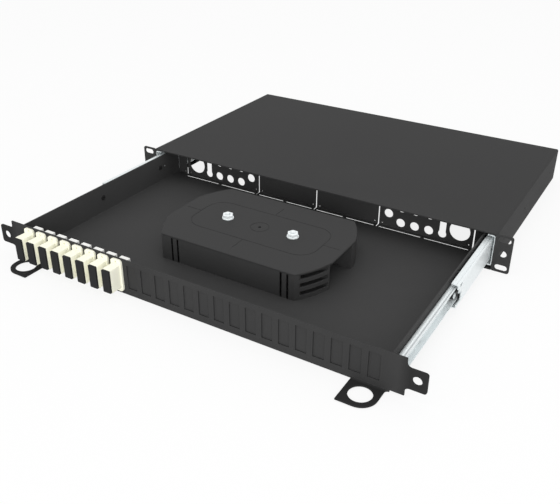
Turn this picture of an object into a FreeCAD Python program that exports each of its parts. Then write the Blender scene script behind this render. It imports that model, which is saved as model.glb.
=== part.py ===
import FreeCAD, Part
import math
import os

os.makedirs("parts", exist_ok=True)
V = FreeCAD.Vector

# A one-unit sliding patch drawer for a 19-inch rack, drawn partly pulled out.
# X runs to the right, Y to the rear, Z up. The origin is the centre of the rack
# fixing slots, on the back face of the cover's ears, which lies on the rack rails.

# Rack and cover
RACK_WIDTH = 482.6
RACK_HOLE_SET_IN = 8.75
RACK_HOLE_RISE = 31.75
RACK_SLOT_LENGTH = 13.0
RACK_SLOT_WIDTH = 6.4
RACK_MIDDLE_HOLE = 7.8
EAR_REACH = 17.3
COVER_HEIGHT = 42.5
COVER_DEPTH = 273.0
COVER_SHEET = 1.5
COVER_LIP = 12.0
BEND = 0.8
EAR_CORNER = 2.5

# Telescopic slides, measured outwards from the drawer wall and from their own middle height
SLIDE_THICKNESS = 12.7
SLIDE_HEIGHT = 35.0
SLIDE_LENGTH = 250.0
SLIDE_RISE = 0.5
SLIDE_SHEET = 1.2
OUTER_FLANGE = 8.2
MIDDLE_LENGTH = 225.0
MIDDLE_SET_BACK = 12.5
MIDDLE_FLANGE = 7.4
WEB_GAP = 1.7
NOTCH_DEPTH = 12.0
NOTCH_STEP = 4.0
NOTCH_TOP = 8.0
NOTCH_SHOULDER = 2.0
NOTCH_DROP = 8.5
NOTCH_ROUND = 1.5
INNER_LENGTH = 247.0
INNER_SET_BACK = 0.5
INNER_FLANGE = 7.0
BALL = 3.6
BALL_PLAY = 0.3
BALL_GAP = 3.3
OUTER_ROW = 6.6
INNER_ROW = 4.6
BALL_PITCH = 20.0
BALLS_IN_ROW = 5
CAGE_SHEET = 0.6
CAGE_MARGIN = 6.0
CAGE_HOLE_PLAY = 0.1
CAGE_RIM = 0.4
CAGE_JOIN = 26.0
CAGE_STRAP = 8.0
CAGE_BEND = 0.3
CAGE_PLAY = 0.3
OUTER_CAGE_SET_BACK = 66.0
INNER_CAGE_SET_BACK = 86.0
COVER_RIVET_PLACES = (32.5, 118.5, 240.5)
WEB_SLOT_LENGTH = 14.0
WEB_SLOT_WIDTH = 5.0
OUTER_SLOT_PLACES = (75.0, 170.0, 205.0)
MIDDLE_SLOT_PLACES = (111.0, 166.0, 206.0)
INNER_SLOT_PLACES = (58.0, 132.5, 194.0)
INNER_SLOT_LENGTH = 8.0
INNER_SLOT_WIDTH = 3.0
INNER_SLOT_DROP = 5.0
FRONT_SLOT_PLACE = 8.0
FRONT_SLOT_RISE = 9.8
FRONT_SLOT_LENGTH = 7.0
FRONT_SLOT_WIDTH = 3.2
STOP_SET_BACK = 1.2
STOP_FOOT = 3.8
STOP_REACH = 2.6
STOP_WIDTH = 10.0
STOP_BEND = 0.2
RIVET_SHANK = 4.0
RIVET_HEAD = 6.4
RIVET_HEAD_DEPTH = 1.1
RIVET_TAIL = 5.6
RIVET_TAIL_RISE = 0.5
RIVET_BORE = 2.0
RIVET_PLAY = 0.05
RIVET_TAPER = 0.8
TRAY_RIVET_HEAD_RISE = 0.9

# Drawer tray
EXTENSION = 233.0
TRAY_SHEET = 1.2
TRAY_DEPTH = 261.5
TRAY_TOP = 16.0
FLOOR_EDGE = 7.0
FRONT_FLANGE = 7.0
FLANGE_SIDE = 8.0
RETURN_RISE = 0.5
CORNER_SLIT = 1.2
WALL_HOLE = 3.0
WALL_HOLE_PLACE = -0.8
DRAWER_RIVET_PLACES = (-215.0, -115.4, -10.3)

# Break-out rear plates
PLATE_SET_INS = (126.8, 14.8)
PLATE_SLIT = 1.6
FLOOR_SLIT = 1.2
BRIDGE = 5.0
END_BRIDGE = 3.0
DOT = 1.5
DOT_OFFSET = 4.6
DOT_RISE = 2.4
TIE_HOLE = 10.6
TIE_HOLE_SET_IN = 66.2
TIE_HOLE_PITCH = 16.8
TIE_HOLE_ROWS = (-9.7, 9.0)
SINGLE_HOLE_SET_IN = 115.0
PLATE_MIDDLE = -1.2
KEY_SET_IN = 50.4
KEY_SLOT = 7.6
KEY_ROUND = 9.6
GLAND_HOLE = 23.4
GLAND_SET_IN = 31.1

# Front panel
PANEL_SHEET = 1.5
PANEL_HEIGHT = 37.0
PANEL_SIDE_PLAY = 1.2
PANEL_DROP = 2.0
PANEL_EAR_HEIGHT = 20.4
PANEL_EAR_HOLE = 8.3
PANEL_NOTCH_ROUND = 4.0
APERTURES = 24
APERTURE_MARGIN = 18.8
APERTURE_WIDTH = 11.0
APERTURE_HEIGHT = 25.8
RING_SET_IN = 31.0
RING_HOLE = 21.0
RING_WIDTH = 31.0
RING_REACH = 31.0
RING_ROOT = 3.0
RING_SIDE = 6.0
RING_BEND = 0.2

# Blank plates, adapters and dust caps
BLANK_PLAY = 0.1
BLANK_RECESS = 1.0
BLANK_RIM = 1.4
BLANK_BACK = 1.2
BLANK_CORNER = 0.5
BLANK_RIM_CORNER = 1.0
ADAPTERS = 8
ADAPTER_WIDTH = 10.0
ADAPTER_HEIGHT = 25.0
ADAPTER_FRONT = 15.4
ADAPTER_REAR = 10.6
FLANGE_WIDTH = 12.9
FLANGE_HEIGHT = 34.8
FLANGE_SHEET = 2.2
FLANGE_ROUND = 3.2
FLANGE_HOLE = 2.2
FLANGE_HOLE_RISE = 15.1
PORT_WIDTH = 7.4
PORT_HEIGHT = 9.4
PORT_PITCH = 12.7
PORT_FRONT_DEPTH = 11.0
PORT_REAR_DEPTH = 8.0
SLEEVE = 3.2
CAP_PLATE = 2.0
CAP_EDGE = 0.3
CAP_PLAY = 0.15
CAP_REACH = 8.0
REAR_CAP_WALL = 0.6
REAR_CAP_SLEEVE = 4.0
CLIP_SHEET = 0.4
CLIP_DEPTH = 4.5
CLIP_SET_BACK = 0.1
CLIP_BEND = 0.1
CLIP_LANCE = 0.9
CLIP_LANCE_HEIGHT = 8.0
CLIP_DROP = 20.0

# Splice cassette
CASSETTE_Y = -100.0
CASSETTE_HALF_LENGTH = 100.0
CASSETTE_HALF_DEPTH = 65.0
CASSETTE_ROUND = 103.0
CASSETTE_TRAYS = 3
CASSETTE_TRAY_RISE = 9.1
CASSETTE_FLOOR = 1.2
CASSETTE_WALL = 1.6
CASSETTE_FIN = 4.4
CASSETTE_BLOCK = 83.0
ENTRY_DEPTH = 20.0
ENTRY_FRONT = 28.5
ENTRY_REAR = 18.0
CASSETTE_SLITS = (-66.5, -59.2, 65.0, 72.4)
CASSETTE_SLIT = 1.5
CASSETTE_BOSS = 12.0
SPOOL = 44.0
SPOOL_WALL = 1.4
SPOOL_RISE = 6.5
SPOOL_GAP = 12.0
TAB_PLACE = 30.0
TAB_LENGTH = 12.0
TAB_REACH = 6.0
TAB_SHEET = 1.0
TAB_DROP = 0.2
LID_SHEET = 2.0
LID_BEVEL = 0.5
LID_HOLE = 3.4
LID_LINE = 0.8
LID_LINE_DEPTH = 0.3
LID_LINE_HALF_LENGTH = 76.0
LID_LINE_HALF_DEPTH = 32.0
LID_LINE_ROUND = 20.0
LID_TICK = 19.0
LID_RING = 20.0
HOLDER_LENGTH = 44.0
HOLDER_WIDTH = 24.0
HOLDER_RISE = 5.5
HOLDER_GROOVES = 6
HOLDER_GROOVE = 2.4
HOLDER_FLOOR = 1.5
STUD_PLACE = 40.6
STUD = 6.0
STUD_PLAY = 0.1
STUD_STANDS_PROUD = 1.0
NUT_FLANGE = 13.0
NUT_ACROSS = 10.0
NUT_RISE = 5.6
NUT_FLANGE_RISE = 1.4
NUT_CROWN = 0.6

# Release levers in the slides
LEVER_FRONT = -104.0
LEVER_PIVOT = -98.7
LEVER_PIVOT_DROP = 2.2
LEVER_END = -66.0
LEVER_BAR = 4.4
LEVER_BASE = 0.2
LEVER_THICKNESS = 3.4
LEVER_BOSS = 8.0
LEVER_HOOK_START = 7.4
LEVER_HOOK_END = 8.2
LEVER_PIN = 3.0
LEVER_PIN_PLAY = 0.05
LEVER_PIN_HEAD = 7.0
LEVER_PIN_HEAD_RISE = 0.8
LEVER_PLAY = 0.2
LEVER_CORNER = 0.6
HOOK_RISE = 6.6
HOOK_DROP = 9.2
HOOK_ARM = 5.8
HOOK_STEP = 10.2
HOOK_LINK = 2.4

# Places worked out from the sizes above
RACK_HALF = RACK_WIDTH / 2
HOLE_X = RACK_HALF - RACK_HOLE_SET_IN
COVER_HALF = RACK_HALF - EAR_REACH
COVER_TOP = COVER_HEIGHT / 2
COVER_INNER = COVER_HALF - COVER_SHEET
PANEL_BACK = -COVER_SHEET - EXTENSION
PANEL_FACE = PANEL_BACK - PANEL_SHEET
PANEL_TOP = PANEL_HEIGHT / 2
PANEL_HALF = COVER_HALF - PANEL_SIDE_PLAY
PANEL_LOW = -PANEL_TOP - PANEL_DROP
RING_PLACE = PANEL_HALF - RING_SET_IN
RING_END = RING_PLACE + RING_WIDTH / 2 + RING_ROOT
WALL_OUTER = COVER_INNER - SLIDE_THICKNESS
WALL_INNER = WALL_OUTER - TRAY_SHEET
PLATE_INNER_SPLIT, PLATE_OUTER_SPLIT = [WALL_INNER - a for a in PLATE_SET_INS]
TIE_HOLE_LAST = WALL_INNER - TIE_HOLE_SET_IN
SINGLE_HOLE_PLACE = WALL_INNER - SINGLE_HOLE_SET_IN
KEY_PLACE = WALL_INNER - KEY_SET_IN
GLAND_PLACE = WALL_INNER - GLAND_SET_IN
FLOOR_BOTTOM = -PANEL_TOP
FLOOR_TOP = FLOOR_BOTTOM + TRAY_SHEET
REAR_FACE = PANEL_BACK + TRAY_DEPTH
REAR_END = REAR_FACE + TRAY_SHEET
BREAK_LINE = REAR_FACE - FLOOR_EDGE
OUTER_INSIDE = SLIDE_HEIGHT / 2 - SLIDE_SHEET
OUTER_BALL_RISE = OUTER_INSIDE - BALL_GAP / 2
MIDDLE_TOP = OUTER_INSIDE - BALL_GAP
MIDDLE_INSIDE = MIDDLE_TOP - SLIDE_SHEET
INNER_BALL_RISE = MIDDLE_INSIDE - BALL_GAP / 2
INNER_TOP = MIDDLE_INSIDE - BALL_GAP
OUTER_WEB = SLIDE_THICKNESS - SLIDE_SHEET
MIDDLE_BACK = OUTER_WEB - WEB_GAP
MIDDLE_WEB = MIDDLE_BACK - SLIDE_SHEET
MIDDLE_FRONT = MIDDLE_SET_BACK - EXTENSION / 2
INNER_FRONT = PANEL_BACK + INNER_SET_BACK
LEVER_PIVOT_RISE = SLIDE_RISE - LEVER_PIVOT_DROP
CAGE_LENGTH = (BALLS_IN_ROW - 1) * BALL_PITCH + 2 * CAGE_MARGIN
OUTER_CAGE_FRONT = OUTER_CAGE_SET_BACK - EXTENSION / 4
INNER_CAGE_FRONT = INNER_CAGE_SET_BACK - EXTENSION * 3 / 4
CASSETTE_TOP = FLOOR_TOP + CASSETTE_TRAYS * CASSETTE_TRAY_RISE
LID_TOP = CASSETTE_TOP + LID_SHEET
APERTURE_PITCH = 2 * (PANEL_HALF - APERTURE_MARGIN) / APERTURES
FIRST_APERTURE = -(APERTURES - 1) / 2 * APERTURE_PITCH


def on_plane(plane, level, a, b):
    """Point (a, b) of a drawing on the plane xy, xz or yz at the given level."""
    if plane == "xy":
        return V(a, b, level)
    if plane == "xz":
        return V(a, level, b)
    return V(level, a, b)


def outline(corners, plane, level):
    """Closed wire through the corners (a, b) or (a, b, radius), rounded to each radius."""
    count = len(corners)
    ends = []
    for i in range(count):
        before = V(corners[i - 1][0], corners[i - 1][1], 0)
        here = V(corners[i][0], corners[i][1], 0)
        after = V(corners[(i + 1) % count][0], corners[(i + 1) % count][1], 0)
        radius = corners[i][2] if len(corners[i]) > 2 else 0.0
        if radius <= 0:
            ends.append((here, None, here))
            continue
        back = (before - here).normalize()
        ahead = (after - here).normalize()
        half = back.getAngle(ahead) / 2
        cut = radius / math.tan(half)
        bisector = (back + ahead).normalize()
        middle = here + bisector * (radius / math.sin(half) - radius)
        ends.append((here + back * cut, middle, here + ahead * cut))
    edges = []
    for i in range(count):
        start, middle, end = [None if p is None else on_plane(plane, level, p.x, p.y) for p in ends[i]]
        if middle is not None:
            edges.append(Part.Arc(start, middle, end).toShape())
        onward = on_plane(plane, level, ends[(i + 1) % count][0].x, ends[(i + 1) % count][0].y)
        if (onward - end).Length > 1e-6:
            edges.append(Part.LineSegment(end, onward).toShape())
    return Part.Wire(edges)


def prism(corners, plane, level, length):
    """Solid of a rounded outline, drawn on a plane at a level and pushed out by a length."""
    way = {"xy": V(0, 0, length), "xz": V(0, length, 0), "yz": V(length, 0, 0)}[plane]
    return Part.Face(outline(corners, plane, level)).extrude(way)


def block(x0, x1, y0, y1, z0, z1):
    """Box between two opposite corners."""
    return Part.makeBox(x1 - x0, y1 - y0, z1 - z0, V(x0, y0, z0))


def rod(x, y, z, diameter, length, way):
    """Cylinder from a centre point along way."""
    return Part.makeCylinder(diameter / 2, length, V(x, y, z), way)


def bent_strip(path, sheet, bend):
    """Corners of a bent sheet's section: path is one face, the sheet lies to its left.

    A negative sheet lies to its right. Each bend is rounded to bend inside."""
    side = 1 if sheet > 0 else -1
    thick = abs(sheet)
    near = []
    far = []
    for i, (a, b) in enumerate(path):
        here = V(a, b, 0)
        turns = []
        if i > 0:
            turns.append((here - V(path[i - 1][0], path[i - 1][1], 0)).normalize())
        if i < len(path) - 1:
            turns.append((V(path[i + 1][0], path[i + 1][1], 0) - here).normalize())
        normals = [V(-d.y, d.x, 0) * side for d in turns]
        if len(turns) == 1:
            near.append((a, b, 0))
            far.append((a + normals[0].x * thick, b + normals[0].y * thick, 0))
            continue
        shift = (normals[0] + normals[1]) * (thick / (1 + normals[0].dot(normals[1])))
        turn = turns[0].cross(turns[1]).z * side
        near.append((a, b, bend + thick if turn > 0 else bend))
        far.append((a + shift.x, b + shift.y, bend if turn > 0 else bend + thick))
    return near + far[::-1]


def lens(half_length, half_depth, radius, z0, rise):
    """Disc of the cassette's plan, cut straight on four sides."""
    disc = Part.makeCylinder(radius, rise, V(0, CASSETTE_Y, z0))
    sides = block(-half_length, half_length, CASSETTE_Y - half_depth, CASSETTE_Y + half_depth, z0, z0 + rise)
    return disc.common(sides)


def slot(x, z, length, width, y0, depth):
    """Oblong cutter that runs along X."""
    flat = (length - width) / 2
    return prism([(x - flat - width / 2, z - width / 2, width / 2 - 0.001),
                  (x + flat + width / 2, z - width / 2, width / 2 - 0.001),
                  (x + flat + width / 2, z + width / 2, width / 2 - 0.001),
                  (x - flat - width / 2, z + width / 2, width / 2 - 0.001)], "xz", y0, depth)


def mirrored(shape):
    """The same piece on the left-hand side."""
    return shape.mirror(V(0, 0, 0), V(1, 0, 0))


def group(solids):
    """Like pieces that share one node."""
    return Part.makeCompound(solids)


def aperture_x(index):
    """Centre of a front aperture, counted from the left."""
    return FIRST_APERTURE + index * APERTURE_PITCH


# Cover

def cover_rivet(y, play):
    """Flush rivet through the right-hand cover wall and the slide behind it."""
    grip = COVER_SHEET + SLIDE_SHEET
    profile = [(0, 0), (RIVET_HEAD / 2 + play, 0), (RIVET_SHANK / 2 + play, RIVET_HEAD_DEPTH),
               (RIVET_SHANK / 2 + play, grip)]
    if play == 0:
        profile += [(RIVET_TAIL / 2, grip), (RIVET_TAIL / 2 - 0.4, grip + RIVET_TAIL_RISE)]
    profile += [(0, profile[-1][1])]
    points = [V(r, 0, d) for r, d in profile]
    turned = Part.Face(Part.makePolygon(points + [points[0]])).revolve(V(0, 0, 0), V(0, 0, 1), 360)
    if play == 0:
        turned = turned.cut(rod(0, 0, -1, RIVET_BORE, 1 + RIVET_HEAD_DEPTH, V(0, 0, 1)))
    turned.rotate(V(0, 0, 0), V(0, 1, 0), -90)
    turned.translate(V(COVER_HALF, y, SLIDE_RISE))
    return turned


def top_cover():
    path = [(-COVER_HALF + COVER_LIP, -COVER_TOP), (-COVER_HALF, -COVER_TOP), (-COVER_HALF, COVER_TOP),
            (COVER_HALF, COVER_TOP), (COVER_HALF, -COVER_TOP), (COVER_HALF - COVER_LIP, -COVER_TOP)]
    section = bent_strip(path, -COVER_SHEET, BEND)
    shell = prism(section, "xz", -COVER_SHEET, COVER_DEPTH + COVER_SHEET)
    inner_round = BEND + COVER_SHEET
    ear = prism([(COVER_INNER, -COVER_TOP, inner_round), (RACK_HALF, -COVER_TOP, EAR_CORNER),
                 (RACK_HALF, COVER_TOP, EAR_CORNER), (COVER_INNER, COVER_TOP, inner_round)],
                "xz", -COVER_SHEET, COVER_SHEET)
    for z in (-RACK_HOLE_RISE / 2, RACK_HOLE_RISE / 2):
        ear = ear.cut(slot(HOLE_X, z, RACK_SLOT_LENGTH, RACK_SLOT_WIDTH, -2 * COVER_SHEET, 3 * COVER_SHEET))
    ear = ear.cut(rod(HOLE_X, -2 * COVER_SHEET, 0, RACK_MIDDLE_HOLE, 3 * COVER_SHEET, V(0, 1, 0)))
    bend_fill = prism([(COVER_HALF - BEND, -BEND), (COVER_HALF + BEND, -BEND), (COVER_HALF + BEND, 0),
                       (COVER_HALF, 0, BEND * 0.99), (COVER_HALF, BEND), (COVER_HALF - BEND, BEND)],
                      "xy", -COVER_TOP + inner_round, COVER_HEIGHT - 2 * inner_round)
    half = ear.fuse(bend_fill)
    shell = shell.fuse([half, mirrored(half)])
    for y in COVER_RIVET_PLACES:
        hole = cover_rivet(y, RIVET_PLAY)
        shell = shell.cut(hole).cut(mirrored(hole))
    return shell.removeSplitter()


def cover_rivets():
    right = [cover_rivet(y, 0) for y in COVER_RIVET_PLACES]
    return group(right + [mirrored(r) for r in right])


# Telescopic slides, drawn for the right-hand side

def slide_section(path, cutters, front, length):
    """A slide member: bent section with its ball grooves, pushed out along Y."""
    placed = [(WALL_OUTER + u, SLIDE_RISE + z) for u, z in path]
    member = prism(bent_strip(placed, SLIDE_SHEET, BEND), "xz", front, length)
    for u, z in cutters:
        for level in (z, -z):
            groove = rod(WALL_OUTER + u, front - 1, SLIDE_RISE + level, BALL + 2 * BALL_PLAY, length + 2, V(0, 1, 0))
            member = member.cut(groove)
    return member


def web_slot(y, z, length, width):
    """Oblong cutter through a slide's web, running along Y."""
    round_end = width / 2 - 0.001
    a0, a1 = y - length / 2, y + length / 2
    b0, b1 = SLIDE_RISE + z - width / 2, SLIDE_RISE + z + width / 2
    corners = [(a0, b0, round_end), (a1, b0, round_end), (a1, b1, round_end), (a0, b1, round_end)]
    return prism(corners, "yz", WALL_OUTER - 1, SLIDE_THICKNESS + 2)


def slide_outer():
    """Member fixed to the cover: a channel that opens towards the drawer."""
    tip = SLIDE_THICKNESS - OUTER_FLANGE
    half = SLIDE_HEIGHT / 2
    path = [(tip, -half), (SLIDE_THICKNESS, -half), (SLIDE_THICKNESS, half), (tip, half)]
    member = slide_section(path, [(OUTER_ROW, OUTER_BALL_RISE)], 0.0, SLIDE_LENGTH)
    for y in COVER_RIVET_PLACES:
        member = member.cut(cover_rivet(y, RIVET_PLAY))
    for y in OUTER_SLOT_PLACES:
        member = member.cut(web_slot(y, 0, WEB_SLOT_LENGTH, WEB_SLOT_WIDTH))
    root = WALL_OUTER + OUTER_WEB
    end = SLIDE_LENGTH - STOP_SET_BACK
    stop = prism(bent_strip([(root, end - STOP_FOOT), (root, end), (root - STOP_REACH, end)], SLIDE_SHEET, STOP_BEND),
                 "xy", SLIDE_RISE - STOP_WIDTH / 2, STOP_WIDTH)
    return member.fuse(stop).removeSplitter()


def slide_middle():
    """Carrier between the two: runs on balls outside and inside its flanges."""
    tip = MIDDLE_BACK - MIDDLE_FLANGE
    path = [(tip, -MIDDLE_TOP), (MIDDLE_BACK, -MIDDLE_TOP), (MIDDLE_BACK, MIDDLE_TOP), (tip, MIDDLE_TOP)]
    rows = [(OUTER_ROW, OUTER_BALL_RISE), (INNER_ROW, INNER_BALL_RISE)]
    member = slide_section(path, rows, MIDDLE_FRONT, MIDDLE_LENGTH)
    low, high = SLIDE_RISE - NOTCH_DROP, SLIDE_RISE + NOTCH_TOP
    deep, shallow = MIDDLE_FRONT + NOTCH_DEPTH, MIDDLE_FRONT + NOTCH_STEP
    notch = prism([(MIDDLE_FRONT - 5, low), (deep, low, NOTCH_ROUND),
                   (deep, SLIDE_RISE + NOTCH_SHOULDER, NOTCH_ROUND), (shallow, SLIDE_RISE + NOTCH_SHOULDER),
                   (shallow, high, NOTCH_ROUND), (MIDDLE_FRONT - 5, high)],
                  "yz", WALL_OUTER + MIDDLE_WEB - 0.5, SLIDE_SHEET + 1)
    member = member.cut(notch)
    member = member.cut(web_slot(MIDDLE_FRONT + FRONT_SLOT_PLACE, FRONT_SLOT_RISE, FRONT_SLOT_LENGTH, FRONT_SLOT_WIDTH))
    for step in MIDDLE_SLOT_PLACES:
        member = member.cut(web_slot(MIDDLE_FRONT + step, 0, WEB_SLOT_LENGTH, WEB_SLOT_WIDTH))
    return member


def slide_inner():
    """Member fixed to the drawer wall: a channel that opens away from the drawer."""
    path = [(INNER_FLANGE, INNER_TOP), (0, INNER_TOP), (0, -INNER_TOP), (INNER_FLANGE, -INNER_TOP)]
    member = slide_section(path, [(INNER_ROW, INNER_BALL_RISE)], INNER_FRONT, INNER_LENGTH)
    for step in INNER_SLOT_PLACES:
        member = member.cut(web_slot(INNER_FRONT + step, -INNER_SLOT_DROP, INNER_SLOT_LENGTH, INNER_SLOT_WIDTH))
    for y in DRAWER_RIVET_PLACES:
        member = member.cut(drawer_rivet(y, RIVET_PLAY))
    pin = rod(WALL_OUTER - 1, LEVER_PIVOT, LEVER_PIVOT_RISE, LEVER_PIN, SLIDE_SHEET + 2, V(1, 0, 0))
    return member.cut(pin)


def ball_places(row, level, front):
    """Centres of the balls of one cage, above and below."""
    return [(WALL_OUTER + row, front + CAGE_MARGIN + i * BALL_PITCH, SLIDE_RISE + z)
            for z in (level, -level) for i in range(BALLS_IN_ROW)]


def balls(row, level, front):
    """Steel balls of one cage."""
    return group([Part.makeSphere(BALL / 2, V(*p)) for p in ball_places(row, level, front)])


def ball_cage(row, level, front, web, join):
    """Bent strip that keeps the balls apart, joined across over the given length at its rear."""
    rim = BALL / 2 + CAGE_HOLE_PLAY + CAGE_RIM
    tip = row - rim
    middle = level + CAGE_SHEET / 2
    path = [(tip, -middle), (web, -middle), (web, middle), (tip, middle)]
    placed = [(WALL_OUTER + u, SLIDE_RISE + z) for u, z in path]
    cage = prism(bent_strip(placed, CAGE_SHEET, CAGE_BEND), "xz", front, CAGE_LENGTH)
    cage = cage.cut(block(WALL_OUTER + row + rim, WALL_OUTER + web + 1, front - 1,
                          front + CAGE_LENGTH - join, SLIDE_RISE - level - 1, SLIDE_RISE + level + 1))
    for x, y, z in ball_places(row, level, front):
        cage = cage.cut(rod(x, y, z - 2, BALL + 2 * CAGE_HOLE_PLAY, 4, V(0, 0, 1)))
    return cage


def outer_cage():
    web = OUTER_WEB - RIVET_TAIL_RISE - CAGE_PLAY
    return ball_cage(OUTER_ROW, OUTER_BALL_RISE, OUTER_CAGE_FRONT, web, CAGE_LENGTH - CAGE_STRAP)


def inner_cage():
    return ball_cage(INNER_ROW, INNER_BALL_RISE, INNER_CAGE_FRONT, MIDDLE_WEB - CAGE_PLAY, CAGE_JOIN)


def release_lever():
    """Moulded lever in the inner member; its hook shows in the middle member's notch."""
    z = SLIDE_RISE
    base = WALL_OUTER + SLIDE_SHEET + LEVER_BASE
    half = LEVER_BAR / 2
    bar = prism([(LEVER_FRONT, z - half, LEVER_CORNER), (LEVER_END, z - half, half - 0.01),
                 (LEVER_END, z + half, half - 0.01), (LEVER_FRONT, z + half, LEVER_CORNER)],
                "yz", base, LEVER_THICKNESS)
    boss = rod(base, LEVER_PIVOT, LEVER_PIVOT_RISE, LEVER_BOSS, LEVER_THICKNESS, V(1, 0, 0))
    first, second = LEVER_FRONT, LEVER_FRONT + HOOK_STEP
    corners = [(first, z + HOOK_RISE), (first, z + HOOK_LINK), (second, z), (second, z - HOOK_DROP),
               (second + HOOK_ARM, z - HOOK_DROP), (second + HOOK_ARM, z + HOOK_LINK),
               (first + HOOK_ARM, z + 2 * HOOK_LINK), (first + HOOK_ARM, z + HOOK_RISE)]
    hook = prism([(y, h, LEVER_CORNER) for y, h in corners], "yz",
                 WALL_OUTER + LEVER_HOOK_START, LEVER_HOOK_END - LEVER_HOOK_START)
    post = block(base, WALL_OUTER + LEVER_HOOK_START, second, second + HOOK_ARM, z, z + half)
    lever = bar.fuse([boss, post, hook])
    bore = rod(base - 1, LEVER_PIVOT, LEVER_PIVOT_RISE, LEVER_PIN + 2 * LEVER_PIN_PLAY, LEVER_THICKNESS + 2,
               V(1, 0, 0))
    return lever.cut(bore).removeSplitter()


def lever_pins():
    """Pivot pins, set in the inner members' webs."""
    length = SLIDE_SHEET + LEVER_BASE + LEVER_THICKNESS + LEVER_PLAY
    pin = rod(WALL_OUTER, LEVER_PIVOT, LEVER_PIVOT_RISE, LEVER_PIN, length, V(1, 0, 0))
    head = rod(WALL_OUTER + length, LEVER_PIVOT, LEVER_PIVOT_RISE, LEVER_PIN_HEAD, LEVER_PIN_HEAD_RISE,
               V(1, 0, 0))
    right = pin.fuse(head)
    return group([right, mirrored(right)])


# Drawer tray

def drawer_rivet(y, play):
    """Hollow rivet through the right-hand tray wall and the inner member."""
    grip = TRAY_SHEET + SLIDE_SHEET
    start = WALL_INNER
    shank = rod(start, y, SLIDE_RISE, RIVET_SHANK + 2 * play, grip, V(1, 0, 0))
    if play > 0:
        return shank
    head = Part.makeCone(RIVET_HEAD / 2, RIVET_HEAD / 2 - RIVET_TAPER, TRAY_RIVET_HEAD_RISE,
                         V(start, y, SLIDE_RISE), V(-1, 0, 0))
    tail = rod(start + grip, y, SLIDE_RISE, RIVET_TAIL, RIVET_TAIL_RISE, V(1, 0, 0))
    return shank.fuse([head, tail]).cut(rod(start - 2, y, SLIDE_RISE, RIVET_BORE, grip + 4, V(1, 0, 0)))


def drawer_rivets():
    right = [drawer_rivet(y, 0) for y in DRAWER_RIVET_PLACES]
    return group(right + [mirrored(r) for r in right])


def drawer_tray():
    path = [(-WALL_OUTER, TRAY_TOP), (-WALL_OUTER, FLOOR_BOTTOM), (WALL_OUTER, FLOOR_BOTTOM), (WALL_OUTER, TRAY_TOP)]
    tray = prism(bent_strip(path, TRAY_SHEET, BEND), "xz", PANEL_BACK, REAR_END - PANEL_BACK)
    split = PLATE_OUTER_SPLIT + PLATE_SLIT / 2
    tray = tray.cut(block(-split, split, BREAK_LINE, REAR_END + 1, FLOOR_BOTTOM - 1, FLOOR_TOP + 1))
    return_edge = WALL_INNER - CORNER_SLIT
    return_wall = block(split, return_edge, REAR_FACE, REAR_END, FLOOR_BOTTOM + RETURN_RISE, TRAY_TOP)
    return_dot = rod(split + DOT_OFFSET - PLATE_SLIT, REAR_FACE - 1, FLOOR_TOP + DOT_RISE, DOT, 4, V(0, 1, 0))
    return_wall = return_wall.cut(return_dot)
    tray = tray.fuse([return_wall, mirrored(return_wall)])
    corner = block(WALL_INNER - 1, WALL_OUTER + 1, PANEL_BACK - 1, PANEL_BACK + FLANGE_SIDE,
                   FLOOR_TOP + BEND, TRAY_TOP + 1)
    tray = tray.cut(corner).cut(mirrored(corner))
    holes = [drawer_rivet(y, RIVET_PLAY) for y in DRAWER_RIVET_PLACES]
    holes.append(rod(WALL_INNER - 1, WALL_HOLE_PLACE, SLIDE_RISE, WALL_HOLE, TRAY_SHEET + 1, V(1, 0, 0)))
    for hole in holes:
        tray = tray.cut(hole).cut(mirrored(hole))
    return tray.removeSplitter()


def tray_flanges():
    """Front ends of the tray walls, bent inwards behind the panel."""
    section = bent_strip([(WALL_OUTER, PANEL_BACK + FLANGE_SIDE), (WALL_OUTER, PANEL_BACK),
                          (WALL_OUTER - FRONT_FLANGE, PANEL_BACK)], -TRAY_SHEET, BEND)
    right = prism(section, "xy", FLOOR_TOP + BEND, TRAY_TOP - FLOOR_TOP - BEND)
    return group([right, mirrored(right)])


# Rear plates, which break out at the slits

def rear_sheet(first, last):
    """Bent sheet between two splits, with bridges to the tray floor."""
    x0, x1 = first + PLATE_SLIT / 2, last - PLATE_SLIT / 2
    foot = BREAK_LINE + FLOOR_SLIT
    section = bent_strip([(foot, FLOOR_BOTTOM), (REAR_END, FLOOR_BOTTOM), (REAR_END, TRAY_TOP)], TRAY_SHEET, BEND)
    plate = prism(section, "yz", x0, x1 - x0)
    middle = (x0 + x1) / 2
    for a, b in ((x0, x0 + END_BRIDGE), (middle - BRIDGE / 2, middle + BRIDGE / 2), (x1 - END_BRIDGE, x1)):
        plate = plate.fuse(block(a, b, BREAK_LINE, foot + 0.5, FLOOR_BOTTOM, FLOOR_TOP))
    return plate.removeSplitter()


def above_foot(first, last):
    """Space over the foot of a rear plate, where its upright part stands."""
    return block(first, last, BREAK_LINE - 1, REAR_END + 1, FLOOR_TOP + BEND, TRAY_TOP + 1)


def rear_plate(first, last, openings):
    """Upright part of a rear plate, with its openings."""
    plate = rear_sheet(first, last).common(above_foot(first, last))
    dots = [rod(x, REAR_FACE - 1, FLOOR_TOP + DOT_RISE, DOT, 4, V(0, 1, 0))
            for x in (first + DOT_OFFSET, last - DOT_OFFSET)]
    for cutter in dots + openings:
        plate = plate.cut(cutter)
    return plate.removeSplitter()


def rear_plate_feet():
    """Bent feet of the four rear plates, which bridge to the tray floor."""
    feet = []
    for first, last in ((0, PLATE_INNER_SPLIT), (PLATE_INNER_SPLIT, PLATE_OUTER_SPLIT)):
        foot = rear_sheet(first, last).cut(above_foot(first, last))
        feet += [foot, mirrored(foot)]
    return group(feet)


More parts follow.
